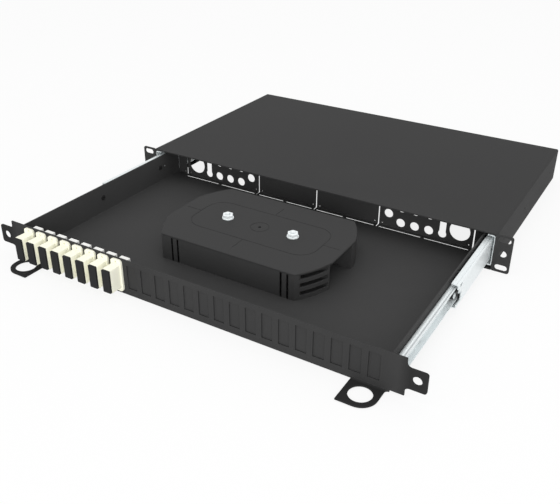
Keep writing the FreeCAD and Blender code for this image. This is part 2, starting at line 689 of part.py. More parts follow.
def cable_openings():
    """Round holes, keyhole and gland hole of the right-hand holed plate."""
    through = V(0, 1, 0)
    y = REAR_FACE - 1
    cutters = [rod(TIE_HOLE_LAST - i * TIE_HOLE_PITCH, y, z, TIE_HOLE, 4, through)
               for i in range(3) for z in TIE_HOLE_ROWS]
    cutters.append(rod(SINGLE_HOLE_PLACE, y, PLATE_MIDDLE, TIE_HOLE, 4, through))
    cutters.append(rod(GLAND_PLACE, y, PLATE_MIDDLE, GLAND_HOLE, 4, through))
    low, high = TIE_HOLE_ROWS
    cutters.append(rod(KEY_PLACE, y, low, KEY_ROUND, 4, through))
    cutters.append(block(KEY_PLACE - KEY_SLOT / 2, KEY_PLACE + KEY_SLOT / 2, y, y + 4, low, high))
    cutters.append(rod(KEY_PLACE, y, high, KEY_SLOT, 4, through))
    return cutters


def blank_rear_plate():
    return rear_plate(0, PLATE_INNER_SPLIT, [])


def holed_rear_plate():
    return rear_plate(PLATE_INNER_SPLIT, PLATE_OUTER_SPLIT, cable_openings())


# Front panel

def ring_tab():
    """Pull ring, bent forward from the right-hand end of the panel's lower edge."""
    inner, outer = RING_PLACE - RING_WIDTH / 2, RING_PLACE + RING_WIDTH / 2
    front = PANEL_FACE - RING_REACH
    section = bent_strip([(PANEL_BACK, PANEL_LOW + RING_SIDE), (PANEL_BACK, PANEL_LOW), (front, PANEL_LOW)],
                         -PANEL_SHEET, RING_BEND)
    tab = prism(section, "yz", inner, RING_END - inner)
    plan = prism([(inner, PANEL_BACK), (inner, front), (outer, front, RING_WIDTH / 2), (outer, PANEL_FACE, RING_ROOT),
                  (RING_END, PANEL_FACE), (RING_END, PANEL_BACK)], "xy", PANEL_LOW - 1, PANEL_HEIGHT)
    hole = rod(RING_PLACE, front + RING_WIDTH / 2, PANEL_LOW - 1, RING_HOLE, 4, V(0, 0, 1))
    return tab.common(plan).cut(hole)


def front_panel():
    half, ear = PANEL_HALF, PANEL_EAR_HEIGHT / 2
    corners = [(RING_END, PANEL_LOW), (RING_END, -PANEL_TOP), (half, -PANEL_TOP), (half, -ear, PANEL_NOTCH_ROUND),
               (RACK_HALF, -ear, EAR_CORNER), (RACK_HALF, ear, EAR_CORNER), (half, ear, PANEL_NOTCH_ROUND),
               (half, PANEL_TOP)]
    corners = corners + [(-a, b) + tuple(r) for a, b, *r in corners[::-1]]
    panel = prism(corners, "xz", PANEL_FACE, PANEL_SHEET)
    tab = ring_tab()
    corner = block(RING_PLACE - RING_WIDTH / 2, RING_END, PANEL_FACE - 1, PANEL_BACK + 1,
                   PANEL_LOW - 1, PANEL_LOW + RING_SIDE - 1)
    panel = panel.cut(corner).cut(mirrored(corner)).fuse([tab, mirrored(tab)])
    for index in range(APERTURES):
        x = aperture_x(index)
        panel = panel.cut(block(x - APERTURE_WIDTH / 2, x + APERTURE_WIDTH / 2, PANEL_FACE - 1, PANEL_BACK + 1,
                                -APERTURE_HEIGHT / 2, APERTURE_HEIGHT / 2))
    for x in (-HOLE_X, HOLE_X):
        panel = panel.cut(rod(x, PANEL_FACE - 1, 0, PANEL_EAR_HOLE, 4, V(0, 1, 0)))
    return panel.removeSplitter()


def blank_plate(index):
    """Blank that fills an aperture from behind, its face a little below the panel's."""
    x = aperture_x(index)
    width, height = APERTURE_WIDTH - 2 * BLANK_PLAY, APERTURE_HEIGHT - 2 * BLANK_PLAY
    nose = upright(x, width, height, BLANK_CORNER, PANEL_FACE + BLANK_RECESS, PANEL_BACK)
    rim = upright(x, width + 2 * BLANK_RIM, height + 2 * BLANK_RIM, BLANK_RIM_CORNER,
                  PANEL_BACK, PANEL_BACK + BLANK_BACK)
    return nose.fuse(rim).removeSplitter()


def blank_plates():
    return group([blank_plate(index) for index in range(ADAPTERS, APERTURES)])


# Adapters and their caps

def upright(x, width, height, corner, y0, y1):
    """Upright block with rounded corners, centred on an aperture."""
    a, b = width / 2, height / 2
    return prism([(x - a, -b, corner), (x + a, -b, corner), (x + a, b, corner), (x - a, b, corner)],
                 "xz", y0, y1 - y0)


def adapter(index):
    x = aperture_x(index)
    front, rear = PANEL_FACE - ADAPTER_FRONT, PANEL_FACE + ADAPTER_REAR
    body = upright(x, ADAPTER_WIDTH, ADAPTER_HEIGHT, 0.5, front, rear)
    flange = upright(x, FLANGE_WIDTH, FLANGE_HEIGHT, FLANGE_ROUND, PANEL_FACE - FLANGE_SHEET, PANEL_FACE)
    body = body.fuse(flange)
    for z in (-PORT_PITCH / 2, PORT_PITCH / 2):
        a, b = PORT_WIDTH / 2, PORT_HEIGHT / 2
        body = body.cut(block(x - a, x + a, front - 1, front + PORT_FRONT_DEPTH, z - b, z + b))
        body = body.cut(block(x - a, x + a, rear - PORT_REAR_DEPTH, rear + 1, z - b, z + b))
        body = body.cut(rod(x, front, z, SLEEVE, rear - front, V(0, 1, 0)))
    for z in (-FLANGE_HOLE_RISE, FLANGE_HOLE_RISE):
        body = body.cut(rod(x, PANEL_FACE - FLANGE_SHEET - 1, z, FLANGE_HOLE, FLANGE_SHEET + 0.6, V(0, 1, 0)))
    return body.removeSplitter()


def adapter_cap(index):
    x = aperture_x(index)
    front = PANEL_FACE - ADAPTER_FRONT
    cap = upright(x, ADAPTER_WIDTH - 2 * CAP_EDGE, ADAPTER_HEIGHT - 2 * CAP_EDGE, 0.6, front - CAP_PLATE, front)
    for z in (-PORT_PITCH / 2, PORT_PITCH / 2):
        a, b = PORT_WIDTH / 2 - CAP_PLAY, PORT_HEIGHT / 2 - CAP_PLAY
        cap = cap.fuse(block(x - a, x + a, front - 0.5, front + CAP_REACH, z - b, z + b))
    return cap.removeSplitter()


def rear_cap(index):
    x = aperture_x(index)
    rear = PANEL_FACE + ADAPTER_REAR
    width, height = ADAPTER_WIDTH + 2 * REAR_CAP_WALL, ADAPTER_HEIGHT + 2 * REAR_CAP_WALL
    cap = upright(x, width, height, 0.8, rear - REAR_CAP_SLEEVE, rear + CAP_PLATE)
    return cap.cut(upright(x, ADAPTER_WIDTH, ADAPTER_HEIGHT, 0.5, rear - REAR_CAP_SLEEVE - 1, rear))


def rear_caps():
    return group([rear_cap(index) for index in range(ADAPTERS)])


def adapter_clip(index):
    """Spring clip over the adapter, whose lances catch behind the panel."""
    x = aperture_x(index)
    a, top = ADAPTER_WIDTH / 2, ADAPTER_HEIGHT / 2
    y0 = PANEL_BACK + CLIP_SET_BACK
    strap = prism(bent_strip([(x - a, top - CLIP_DROP), (x - a, top), (x + a, top), (x + a, top - CLIP_DROP)],
                             CLIP_SHEET, CLIP_BEND), "xz", y0, CLIP_DEPTH)
    solids = [strap]
    for side in (-1, 1):
        edge = x + side * (a + CLIP_SHEET / 2)
        lance = prism([(edge, y0), (x + side * (a + CLIP_SHEET + CLIP_LANCE), y0), (edge, y0 + CLIP_DEPTH - 1)],
                      "xy", -CLIP_LANCE_HEIGHT / 2, CLIP_LANCE_HEIGHT)
        solids.append(lance)
    return solids[0].fuse(solids[1:]).removeSplitter()


def adapter_clips():
    return group([adapter_clip(index) for index in range(ADAPTERS)])


# Splice cassette

def stud_places():
    return [(-STUD_PLACE, CASSETTE_Y), (STUD_PLACE, CASSETTE_Y)]


def turned(shape, angle):
    """Copy turned about the cassette's centre; the tray's two ends are alike when turned half round."""
    copy = shape.copy()
    copy.rotate(V(0, CASSETTE_Y, 0), V(0, 0, 1), angle)
    return copy


def tray_entry(z, wall):
    """Notch where fibre enters the right-hand end of a tray, grown by the thickness of its flanks."""
    start = CASSETTE_HALF_LENGTH - ENTRY_DEPTH
    return block(start, CASSETTE_HALF_LENGTH + 1, CASSETTE_Y - ENTRY_FRONT - wall, CASSETTE_Y + ENTRY_REAR + wall,
                 z, z + CASSETTE_TRAY_RISE)


def splice_tray(level):
    """One tray of the stack, with fibre spools, entry notches, open fins at two corners and slit walls."""
    z = FLOOR_TOP + level * CASSETTE_TRAY_RISE
    outer = lens(CASSETTE_HALF_LENGTH, CASSETTE_HALF_DEPTH, CASSETTE_ROUND, z, CASSETTE_TRAY_RISE)
    wall = CASSETTE_WALL
    inner = lens(CASSETTE_HALF_LENGTH - wall, CASSETTE_HALF_DEPTH - wall, CASSETTE_ROUND - wall,
                 z + CASSETTE_FLOOR, CASSETTE_TRAY_RISE)
    tray = outer.cut(inner)
    front, rear = CASSETTE_Y - CASSETTE_HALF_DEPTH, CASSETTE_Y + CASSETTE_HALF_DEPTH
    top = z + CASSETTE_TRAY_RISE
    window = block(CASSETTE_BLOCK, CASSETTE_HALF_LENGTH + 1, front - 1, CASSETTE_Y - ENTRY_FRONT - wall,
                   z + CASSETTE_FIN, top + 1)
    entry = tray_entry(z, 0)
    for turn in (0, 180):
        tray = tray.cut(turned(window, turn)).fuse(turned(tray_entry(z, wall).common(outer), turn))
        tray = tray.cut(turned(entry, turn))
    for x in CASSETTE_SLITS:
        for y in (front, rear - wall):
            tray = tray.cut(block(x - CASSETTE_SLIT / 2, x + CASSETTE_SLIT / 2, y - 1, y + wall + 1,
                                  z + CASSETTE_FLOOR, top + 1))
    for x in (-TAB_PLACE, TAB_PLACE):
        for y0, y1 in ((front + wall / 2, front + wall + TAB_REACH), (rear - wall - TAB_REACH, rear - wall / 2)):
            tray = tray.fuse(block(x - TAB_LENGTH / 2, x + TAB_LENGTH / 2, y0, y1,
                                   top - TAB_SHEET - TAB_DROP, top - TAB_DROP))
    for x, y in stud_places():
        spool = rod(x, y, z, SPOOL, SPOOL_RISE, V(0, 0, 1)).cut(
            rod(x, y, z, SPOOL - 2 * SPOOL_WALL, SPOOL_RISE + 1, V(0, 0, 1)))
        spool = spool.cut(block(x - SPOOL, x + SPOOL, y - SPOOL_GAP / 2, y + SPOOL_GAP / 2,
                                z + CASSETTE_FLOOR, top + 1))
        boss = rod(x, y, z, CASSETTE_BOSS, CASSETTE_TRAY_RISE, V(0, 0, 1))
        tray = tray.fuse([spool, boss])
        tray = tray.cut(rod(x, y, z - 1, STUD + 2 * STUD_PLAY, CASSETTE_TRAY_RISE + 2, V(0, 0, 1)))
    return tray.removeSplitter()


def splice_holders():
    """Combs that hold the splices, one in each tray between the spools."""
    solids = []
    for level in range(CASSETTE_TRAYS):
        z = FLOOR_TOP + level * CASSETTE_TRAY_RISE + CASSETTE_FLOOR
        y0 = CASSETTE_Y + CASSETTE_HALF_DEPTH / 2
        comb = block(-HOLDER_LENGTH / 2, HOLDER_LENGTH / 2, y0 - HOLDER_WIDTH / 2, y0 + HOLDER_WIDTH / 2,
                     z, z + HOLDER_RISE)
        pitch = HOLDER_WIDTH / HOLDER_GROOVES
        for i in range(HOLDER_GROOVES):
            y = y0 + (i - (HOLDER_GROOVES - 1) / 2) * pitch
            comb = comb.cut(block(-HOLDER_LENGTH, HOLDER_LENGTH, y - HOLDER_GROOVE / 2, y + HOLDER_GROOVE / 2,
                                  z + HOLDER_FLOOR, z + HOLDER_RISE + 1))
        solids.append(comb)
    return group(solids)


def rounded_plate(half_length, half_depth, corner, z0, rise):
    """Rounded rectangle centred on the cassette."""
    a, b0, b1 = half_length, CASSETTE_Y - half_depth, CASSETTE_Y + half_depth
    return prism([(-a, b0, corner), (a, b0, corner), (a, b1, corner), (-a, b1, corner)], "xy", z0, rise)


def lid_lines():
    """Cutter for the shallow outline, ticks and ring on the lid."""
    z, cut, half = LID_TOP - LID_LINE_DEPTH, LID_LINE_DEPTH + 1, LID_LINE / 2
    a, b = LID_LINE_HALF_LENGTH, LID_LINE_HALF_DEPTH
    outer = rounded_plate(a + half, b + half, LID_LINE_ROUND + half, z, cut)
    line = outer.cut(rounded_plate(a - half, b - half, LID_LINE_ROUND - half, z, cut))
    ring = rod(0, CASSETTE_Y, z, LID_RING + LID_LINE, cut, V(0, 0, 1)).cut(
        rod(0, CASSETTE_Y, z, LID_RING - LID_LINE, cut, V(0, 0, 1)))
    along_x = block(-a - LID_TICK, a + LID_TICK, CASSETTE_Y - half, CASSETTE_Y + half, z, z + cut)
    along_y = block(-half, half, CASSETTE_Y - b - LID_TICK, CASSETTE_Y + b + LID_TICK, z, z + cut)
    ticks = along_x.fuse(along_y).cut(rounded_plate(a, b, LID_LINE_ROUND, z, cut))
    return line.fuse([ring, ticks])


def cassette_lid():
    lid = lens(CASSETTE_HALF_LENGTH, CASSETTE_HALF_DEPTH, CASSETTE_ROUND, CASSETTE_TOP, LID_SHEET)
    upper = [e for e in lid.Edges if min(v.Z for v in e.Vertexes) > LID_TOP - 0.01]
    lid = lid.makeChamfer(LID_BEVEL, upper)
    for x, y in stud_places():
        lid = lid.cut(rod(x, y, CASSETTE_TOP - 1, STUD + 2 * STUD_PLAY, LID_SHEET + 2, V(0, 0, 1)))
    lid = lid.cut(lid_lines())
    return lid.cut(rod(0, CASSETTE_Y, CASSETTE_TOP - 1, LID_HOLE, LID_SHEET + 2, V(0, 0, 1)))


def cassette_studs():
    rise = LID_TOP + NUT_RISE + STUD_STANDS_PROUD - FLOOR_TOP
    return group([rod(x, y, FLOOR_TOP, STUD, rise, V(0, 0, 1)) for x, y in stud_places()])


def cassette_nuts():
    solids = []
    for x, y in stud_places():
        flange = rod(x, y, LID_TOP, NUT_FLANGE, NUT_FLANGE_RISE, V(0, 0, 1))
        radius = NUT_ACROSS / 2 / math.cos(math.pi / 6)
        corners = [(x + radius * math.cos(i * math.pi / 3), y + radius * math.sin(i * math.pi / 3)) for i in range(6)]
        hexagon = prism(corners, "xy", LID_TOP, NUT_RISE)
        crown = Part.makeCone(radius + NUT_RISE - NUT_CROWN, radius - NUT_CROWN, NUT_RISE, V(x, y, LID_TOP))
        nut = flange.fuse(hexagon.common(crown))
        nut = nut.cut(rod(x, y, LID_TOP - 1, STUD + 2 * STUD_PLAY, NUT_RISE + 2, V(0, 0, 1)))
        solids.append(nut.removeSplitter())
    return group(solids)


def both_sides(name, shape):
    """Right-hand piece and its mirror image as two nodes."""
    return {name + "_right": shape, name + "_left": mirrored(shape)}


def build():
    nodes = {"top_cover": top_cover(), "cover_rivets": cover_rivets()}
    nodes.update(both_sides("slide_outer", slide_outer()))
    nodes.update(both_sides("slide_middle", slide_middle()))
    nodes.update(both_sides("slide_inner", slide_inner()))
    nodes.update(both_sides("ball_cage_outer", outer_cage()))
    nodes.update(both_sides("ball_cage_inner", inner_cage()))
    nodes.update(both_sides("balls_outer", balls(OUTER_ROW, OUTER_BALL_RISE, OUTER_CAGE_FRONT)))
    nodes.update(both_sides("balls_inner", balls(INNER_ROW, INNER_BALL_RISE, INNER_CAGE_FRONT)))
    nodes.update(both_sides("release_lever", release_lever()))
    nodes["lever_pins"] = lever_pins()
    nodes["drawer_rivets"] = drawer_rivets()
    nodes["drawer_tray"] = drawer_tray()
    nodes["tray_flanges"] = tray_flanges()
    nodes.update(both_sides("rear_plate_blank", blank_rear_plate()))
    nodes.update(both_sides("rear_plate_holed", holed_rear_plate()))
    nodes["rear_plate_feet"] = rear_plate_feet()
    nodes["front_panel"] = front_panel()
    nodes["blank_plates"] = blank_plates()
    for index in range(ADAPTERS):
        nodes["adapter_%d" % (index + 1)] = adapter(index)
        nodes["adapter_cap_%d" % (index + 1)] = adapter_cap(index)
    nodes["rear_caps"] = rear_caps()
    nodes["adapter_clips"] = adapter_clips()
    for level in range(CASSETTE_TRAYS):
        nodes["splice_tray_%d" % (level + 1)] = splice_tray(level)
    nodes["splice_holders"] = splice_holders()
    nodes["cassette_lid"] = cassette_lid()
    nodes["cassette_studs"] = cassette_studs()
    nodes["cassette_nuts"] = cassette_nuts()
    return nodes


for name, shape in build().items():
    if not shape.isValid() or shape.Volume <= 0:
        raise ValueError("bad solid: " + name)
    shape.exportStep("parts/" + name + ".step")
    print(name, len(shape.Solids), round(shape.Volume, 1))
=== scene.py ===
import math

import bmesh
import bpy
from bpy.props import FloatProperty, FloatVectorProperty, IntProperty, PointerProperty
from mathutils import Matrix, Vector


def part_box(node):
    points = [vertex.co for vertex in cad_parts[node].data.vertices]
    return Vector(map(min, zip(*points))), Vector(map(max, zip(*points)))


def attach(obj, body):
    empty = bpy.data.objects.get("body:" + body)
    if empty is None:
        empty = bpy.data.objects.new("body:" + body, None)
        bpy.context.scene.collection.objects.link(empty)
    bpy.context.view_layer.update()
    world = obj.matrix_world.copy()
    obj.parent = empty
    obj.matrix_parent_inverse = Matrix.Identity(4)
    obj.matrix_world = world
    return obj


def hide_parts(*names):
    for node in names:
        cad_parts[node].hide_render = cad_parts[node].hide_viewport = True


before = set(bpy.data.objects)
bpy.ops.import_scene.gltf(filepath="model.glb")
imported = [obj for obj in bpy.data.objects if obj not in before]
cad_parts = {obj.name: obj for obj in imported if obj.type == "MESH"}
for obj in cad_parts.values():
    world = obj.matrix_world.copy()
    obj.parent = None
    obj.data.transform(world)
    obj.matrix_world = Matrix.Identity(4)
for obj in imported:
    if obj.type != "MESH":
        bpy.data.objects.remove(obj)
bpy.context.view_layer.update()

bl_info = {
    "name": "Sliding Patch Drawer",
    "version": (1, 0, 0),
    "blender": (4, 5, 0),
    "location": "View3D > Sidebar > Patch Drawer",
    "description": "Finishes and small hardware of a rack-mount fibre patch drawer",
    "category": "Add Mesh",
}

MM = 0.001
SIDES = ("right", "left")
ADAPTERS = sorted(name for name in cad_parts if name.startswith("adapter_") and name[-1].isdigit()
                  and "cap" not in name)
CAPS = sorted(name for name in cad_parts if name.startswith("adapter_cap_"))
TRAYS = sorted(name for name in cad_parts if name.startswith("splice_tray_"))

NUT_LOW, NUT_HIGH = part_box("cassette_nuts")
STUD_LOW, STUD_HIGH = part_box("cassette_studs")
COVER_LOW, COVER_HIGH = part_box("top_cover")
PANEL_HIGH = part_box("front_panel")[1]


def sided(name):
    """Both hands of a piece that has a right and a left one."""
    return [name + "_" + side for side in SIDES]


# Where painted shade darkens a colour, on the panel's ears and pull rings and beside the trays' slits: each
# fade runs from its first distance to its second

EAR_REACH = 18 * MM
PAINTED_EAR_SHADE_FADE = (-7 * MM, 3 * MM)
PAINTED_RING_SHADE_FADE = (2.5 * MM, 5 * MM)
PAINTED_SLIT_SHADE_FADE = (1.0 * MM, 1.3 * MM)
CASSETTE_SLITS = (-66.5 * MM, -59.2 * MM, 65.0 * MM, 72.4 * MM)


# Settings that a user would change

class CoatSettings(bpy.types.PropertyGroup):
    colour: FloatVectorProperty(name="Colour", description="Powder coat, linear", subtype="COLOR", size=3,
                                default=(0.0385, 0.0385, 0.0387), min=0, max=1)
    # Partly rubbed by handling and partly a painted highlight: the coat's edges are lightened towards this
    # colour
    worn_and_highlight_colour: FloatVectorProperty(name="Edge colour",
                                     description="Coat where handling has polished its edges",
                                     subtype="COLOR", size=3, default=(0.085, 0.085, 0.085), min=0, max=1)
    # Painted light: a lighter copy of the same coat for inside the drawer, where less light falls
    tray_painted_light_colour: FloatVectorProperty(name="Tray colour", description="Coat inside the drawer",
                                     subtype="COLOR", size=3, default=(0.0505, 0.0505, 0.0507), min=0,
                                     max=1)
    rivet_colour: FloatVectorProperty(name="Rivet colour", description="Blackened rivets", subtype="COLOR",
                                      size=3, default=(0.016, 0.016, 0.016), min=0, max=1)
    # Painted light: a lighter copy of the same coat for the rear plates, deep in the drawer's shade
    rear_painted_light_colour: FloatVectorProperty(name="Rear plate colour", description="Coat of the break-out plates",
                                     subtype="COLOR", size=3, default=(0.054, 0.054, 0.0542), min=0, max=1)
    roughness: FloatProperty(name="Roughness", description="Roughness of the coat", default=0.70, min=0,
                             max=1)
    gloss: FloatProperty(name="Gloss", description="Specular level of the coat", default=0.10, min=0, max=1)
    grain: FloatProperty(name="Grain size", description="Width of the coat's orange peel", default=0.9 * MM,
                         unit="LENGTH", subtype="DISTANCE", min=0.0001)
    relief: FloatProperty(name="Relief", description="Depth of the orange peel", default=0.02 * MM,
                          unit="LENGTH", subtype="DISTANCE", min=0)
    # Painted shade: the panel's ears and pull rings keep only this share of the coat's colour
    painted_ear_shade: FloatProperty(name="Ear shade", description="Share of the colour on the ears and pull rings",
                             default=0.55, min=0, max=1)
    edge: FloatProperty(name="Edge rounding", description="Radius of the coat over sheet edges",
                        default=0.35 * MM, unit="LENGTH", subtype="DISTANCE", min=0)


class MetalSettings(bpy.types.PropertyGroup):
    zinc: FloatVectorProperty(name="Zinc", description="Bright zinc plate, linear", subtype="COLOR", size=3,
                              default=(0.87, 0.915, 0.925), min=0, max=1)
    zinc_shade: FloatVectorProperty(name="Zinc shade", description="Zinc plate in its rolled streaks",
                                    subtype="COLOR", size=3, default=(0.79, 0.835, 0.845), min=0, max=1)
    steel: FloatVectorProperty(name="Bearing steel", description="Balls and clips, linear", subtype="COLOR",
                               size=3, default=(0.62, 0.62, 0.60), min=0, max=1)
    roughness: FloatProperty(name="Roughness", description="Roughness of the zinc", default=0.42, min=0,
                             max=1)
    zinc_metallic: FloatProperty(name="Zinc metallic",
                                 description="Metallic share of the slides' satin plate", default=0.4,
                                 min=0, max=1)
    nut_metallic: FloatProperty(name="Nut metallic", description="Metallic share of the nuts' bright plate",
                                default=0.2, min=0, max=1)
    streak: FloatProperty(name="Streak width", description="Width of the rolled streaks", default=0.8 * MM,
                          unit="LENGTH", subtype="DISTANCE", min=0.0001)


class PlasticSettings(bpy.types.PropertyGroup):
    ivory: FloatVectorProperty(name="Ivory", description="Adapter bodies, linear", subtype="COLOR", size=3,
                               default=(0.96, 0.95, 0.80), min=0, max=1)
    off_white: FloatVectorProperty(name="Off-white", description="Rear dust caps, linear", subtype="COLOR",
                                   size=3, default=(0.94, 0.94, 0.91), min=0, max=1)
    cap: FloatVectorProperty(name="Cap black", description="Front dust caps, linear", subtype="COLOR",
                             size=3, default=(0.0145, 0.0145, 0.0155), min=0, max=1)
    # Painted light and shade: the trays and the lid are one grey in two copies, the trays' lighter for their
    # walls in shade and the lid's darker for the light from above
    cassette: FloatVectorProperty(name="Cassette grey", description="Splice trays, linear", subtype="COLOR",
                                  size=3, default=(0.052, 0.052, 0.0522), min=0, max=1)
    lid: FloatVectorProperty(name="Lid grey", description="Cassette lid, linear", subtype="COLOR", size=3,
                             default=(0.0415, 0.0415, 0.0417), min=0, max=1)
    lever: FloatVectorProperty(name="Lever black", description="Release levers, linear", subtype="COLOR",
                               size=3, default=(0.008, 0.008, 0.008), min=0, max=1)
    # Painted shade: beside the trays' slits their colour keeps only this share, a shadow painted round each
    # gap
    painted_slit_shade: FloatProperty(name="Slit shade", description="Share of the colour beside the trays' slits",
                              default=0.12, min=0, max=1)
    sparkle: FloatProperty(name="Texture size", description="Width of the moulded texture",
                           default=0.5 * MM, unit="LENGTH", subtype="DISTANCE", min=0.0001)
    moulded_edge: FloatProperty(name="Moulded edge", description="Radius of moulded edges",
                                default=0.3 * MM, unit="LENGTH", subtype="DISTANCE", min=0)


class HardwareSettings(bpy.types.PropertyGroup):
    across_flats: FloatProperty(name="Across flats", description="Nut size", default=10.6 * MM,
                                unit="LENGTH", subtype="DISTANCE")
    flange: FloatProperty(name="Flange", description="Diameter of the nut's flange",
                          default=NUT_HIGH.y - NUT_LOW.y, unit="LENGTH", subtype="DISTANCE")
    flange_rise: FloatProperty(name="Flange height", description="Height of the sloping flange",
                               default=1.3 * MM, unit="LENGTH", subtype="DISTANCE")
    thread: FloatProperty(name="Thread", description="Outer diameter of the stud",
                          default=STUD_HIGH.y - STUD_LOW.y, unit="LENGTH", subtype="DISTANCE")
    pitch: FloatProperty(name="Pitch", description="Thread pitch", default=1.0 * MM, unit="LENGTH",
                         subtype="DISTANCE")
    turns: IntProperty(name="Steps in a turn", description="Facets round one turn of thread", default=24,
                       min=12)


class FootSettings(bpy.types.PropertyGroup):
    sheet: FloatProperty(name="Sheet", description="Thickness of the plates", default=1.2 * MM,
                         unit="LENGTH", subtype="DISTANCE")
    bend: FloatProperty(name="Bend", description="Inner radius of the foot's bend", default=0.8 * MM,
                        unit="LENGTH", subtype="DISTANCE")
    slit: FloatProperty(name="Slit", description="Gap between the tray floor and the foot",
                        default=3.0 * MM, unit="LENGTH", subtype="DISTANCE")
    end_bridge: FloatProperty(name="End bridge", description="Width of the bridges at a plate's ends",
                              default=2.2 * MM, unit="LENGTH", subtype="DISTANCE")
    middle_bridge: FloatProperty(name="Middle bridge",
                                 description="Width of the bridge at a plate's middle", default=3.8 * MM,
                                 unit="LENGTH", subtype="DISTANCE")


class StageSettings(bpy.types.PropertyGroup):
    camera_place: FloatVectorProperty(name="Camera", description="Camera place", size=3,
                                      subtype="TRANSLATION", unit="LENGTH",
                                      default=(0.369963, -0.676762, 0.370878))
    camera_turn: FloatVectorProperty(name="Camera turn", description="Camera angles", size=3,
                                     subtype="EULER", unit="ROTATION",
                                     default=[math.radians(a) for a in (61.7063, -0.3948, 30.9132)])
    lens: FloatProperty(name="Lens", description="Focal length in mm on a 36 mm sensor", default=46.925,
                        min=1)
    shift: FloatVectorProperty(name="Shift", description="Lens shift across and up", size=2,
                               default=(-0.00345, -0.02985))
    sky: FloatProperty(name="Sky strength", description="Light from all round", default=0.82, min=0)
    top_lamp: FloatProperty(name="Top lamp", description="Power of the soft box above", default=5.6,
                            unit="POWER", min=0)
    side_lamp: FloatProperty(name="Side lamp", description="Power of the soft box at the front right",
                             default=11.0, unit="POWER", min=0)
    backdrop: FloatVectorProperty(name="Backdrop", description="Floor and sky as the camera sees them",
                                  subtype="COLOR", size=3, default=(1.0, 1.0, 1.0), min=0, max=1)


SETTINGS = {"drawer_coat": CoatSettings, "drawer_metal": MetalSettings, "drawer_plastic": PlasticSettings,
            "drawer_hardware": HardwareSettings, "drawer_foot": FootSettings, "drawer_stage": StageSettings}


# Shared shader groups

def group_tree(name, inputs, outputs):
    """Empty shader group with named sockets, and its end nodes."""
    tree = bpy.data.node_groups.new(name, "ShaderNodeTree")
    for label, kind, value in inputs:
        socket = tree.interface.new_socket(label, in_out="INPUT", socket_type=kind)
        if value is not None:
            socket.default_value = value
    for label, kind in outputs:
        tree.interface.new_socket(label, in_out="OUTPUT", socket_type=kind)
    start = tree.nodes.new("NodeGroupInput")
    end = tree.nodes.new("NodeGroupOutput")
    return tree, start, end


def add_node(tree, kind, values=None, **settings):
    """Node with its settings, and values put on its inputs by name or number."""
    node = tree.nodes.new(kind)
    for key, value in settings.items():
        setattr(node, key, value)
    for key, value in (values or {}).items():
        node.inputs[key].default_value = value
    return node


def math_node(tree, operation, first, second):
    """Math node fed by sockets or plain numbers."""
    node = add_node(tree, "ShaderNodeMath", operation=operation)
    for index, source in enumerate((first, second)):
        if isinstance(source, (int, float)):
            node.inputs[index].default_value = source
        else:
            tree.links.new(source, node.inputs[index])
    return node.outputs[0]


def noise(tree, vector, scale, detail, rough):
    """Noise on a position; scale is a socket or a number."""
    node = add_node(tree, "ShaderNodeTexNoise", {"Detail": detail, "Roughness": rough})
    tree.links.new(vector, node.inputs["Vector"])
    if isinstance(scale, (int, float)):
        node.inputs["Scale"].default_value = scale
    else:
        tree.links.new(scale, node.inputs["Scale"])
    return node.outputs["Fac"]


def coat_grain():
    """Orange peel of powder coat: fine and coarse bumps, and a slow change of shade."""
    tree, start, end = group_tree(
        "Coat grain", [("Vector", "NodeSocketVector", None), ("Grain", "NodeSocketFloat", 0.001)],
        [("Height", "NodeSocketFloat"), ("Shade", "NodeSocketFloat")])
    place = start.outputs["Vector"]
    scale = math_node(tree, "DIVIDE", 1.0, start.outputs["Grain"])
    fine = noise(tree, place, scale, detail=3.0, rough=0.55)
    coarse = noise(tree, place, math_node(tree, "MULTIPLY", scale, 0.22), detail=2.0, rough=0.5)
    fine_share = math_node(tree, "MULTIPLY", fine, 0.65)
    coarse_share = math_node(tree, "MULTIPLY", coarse, 0.35)
    tree.links.new(math_node(tree, "ADD", fine_share, coarse_share), end.inputs["Height"])
    slow = noise(tree, place, scale=9.0, detail=4.0, rough=0.6)
    speck = math_node(tree, "MULTIPLY", fine, 0.5)
    tree.links.new(math_node(tree, "ADD", math_node(tree, "MULTIPLY", slow, 0.5), speck), end.inputs["Shade"])
    return tree


def edge_rounding():
    """Rounds edges in the shading and gives a mask of where they are."""
    tree, start, end = group_tree("Edge rounding", [("Radius", "NodeSocketFloat", 0.0003)],
                                  [("Normal", "NodeSocketVector"), ("Edge", "NodeSocketFloat")])
    bevel = add_node(tree, "ShaderNodeBevel", samples=6)
    tree.links.new(start.outputs["Radius"], bevel.inputs["Radius"])
    tree.links.new(bevel.outputs["Normal"], end.inputs["Normal"])
    geometry = add_node(tree, "ShaderNodeNewGeometry")
    dot = add_node(tree, "ShaderNodeVectorMath", operation="DOT_PRODUCT")
    tree.links.new(bevel.outputs["Normal"], dot.inputs[0])
    tree.links.new(geometry.outputs["Normal"], dot.inputs[1])
    bend = math_node(tree, "SUBTRACT", 1.0, dot.outputs["Value"])
    ramp = add_node(tree, "ShaderNodeMapRange", {"From Min": 0.02, "From Max": 0.28}, clamp=True)
    tree.links.new(bend, ramp.inputs["Value"])
    tree.links.new(ramp.outputs["Result"], end.inputs["Edge"])
    return tree


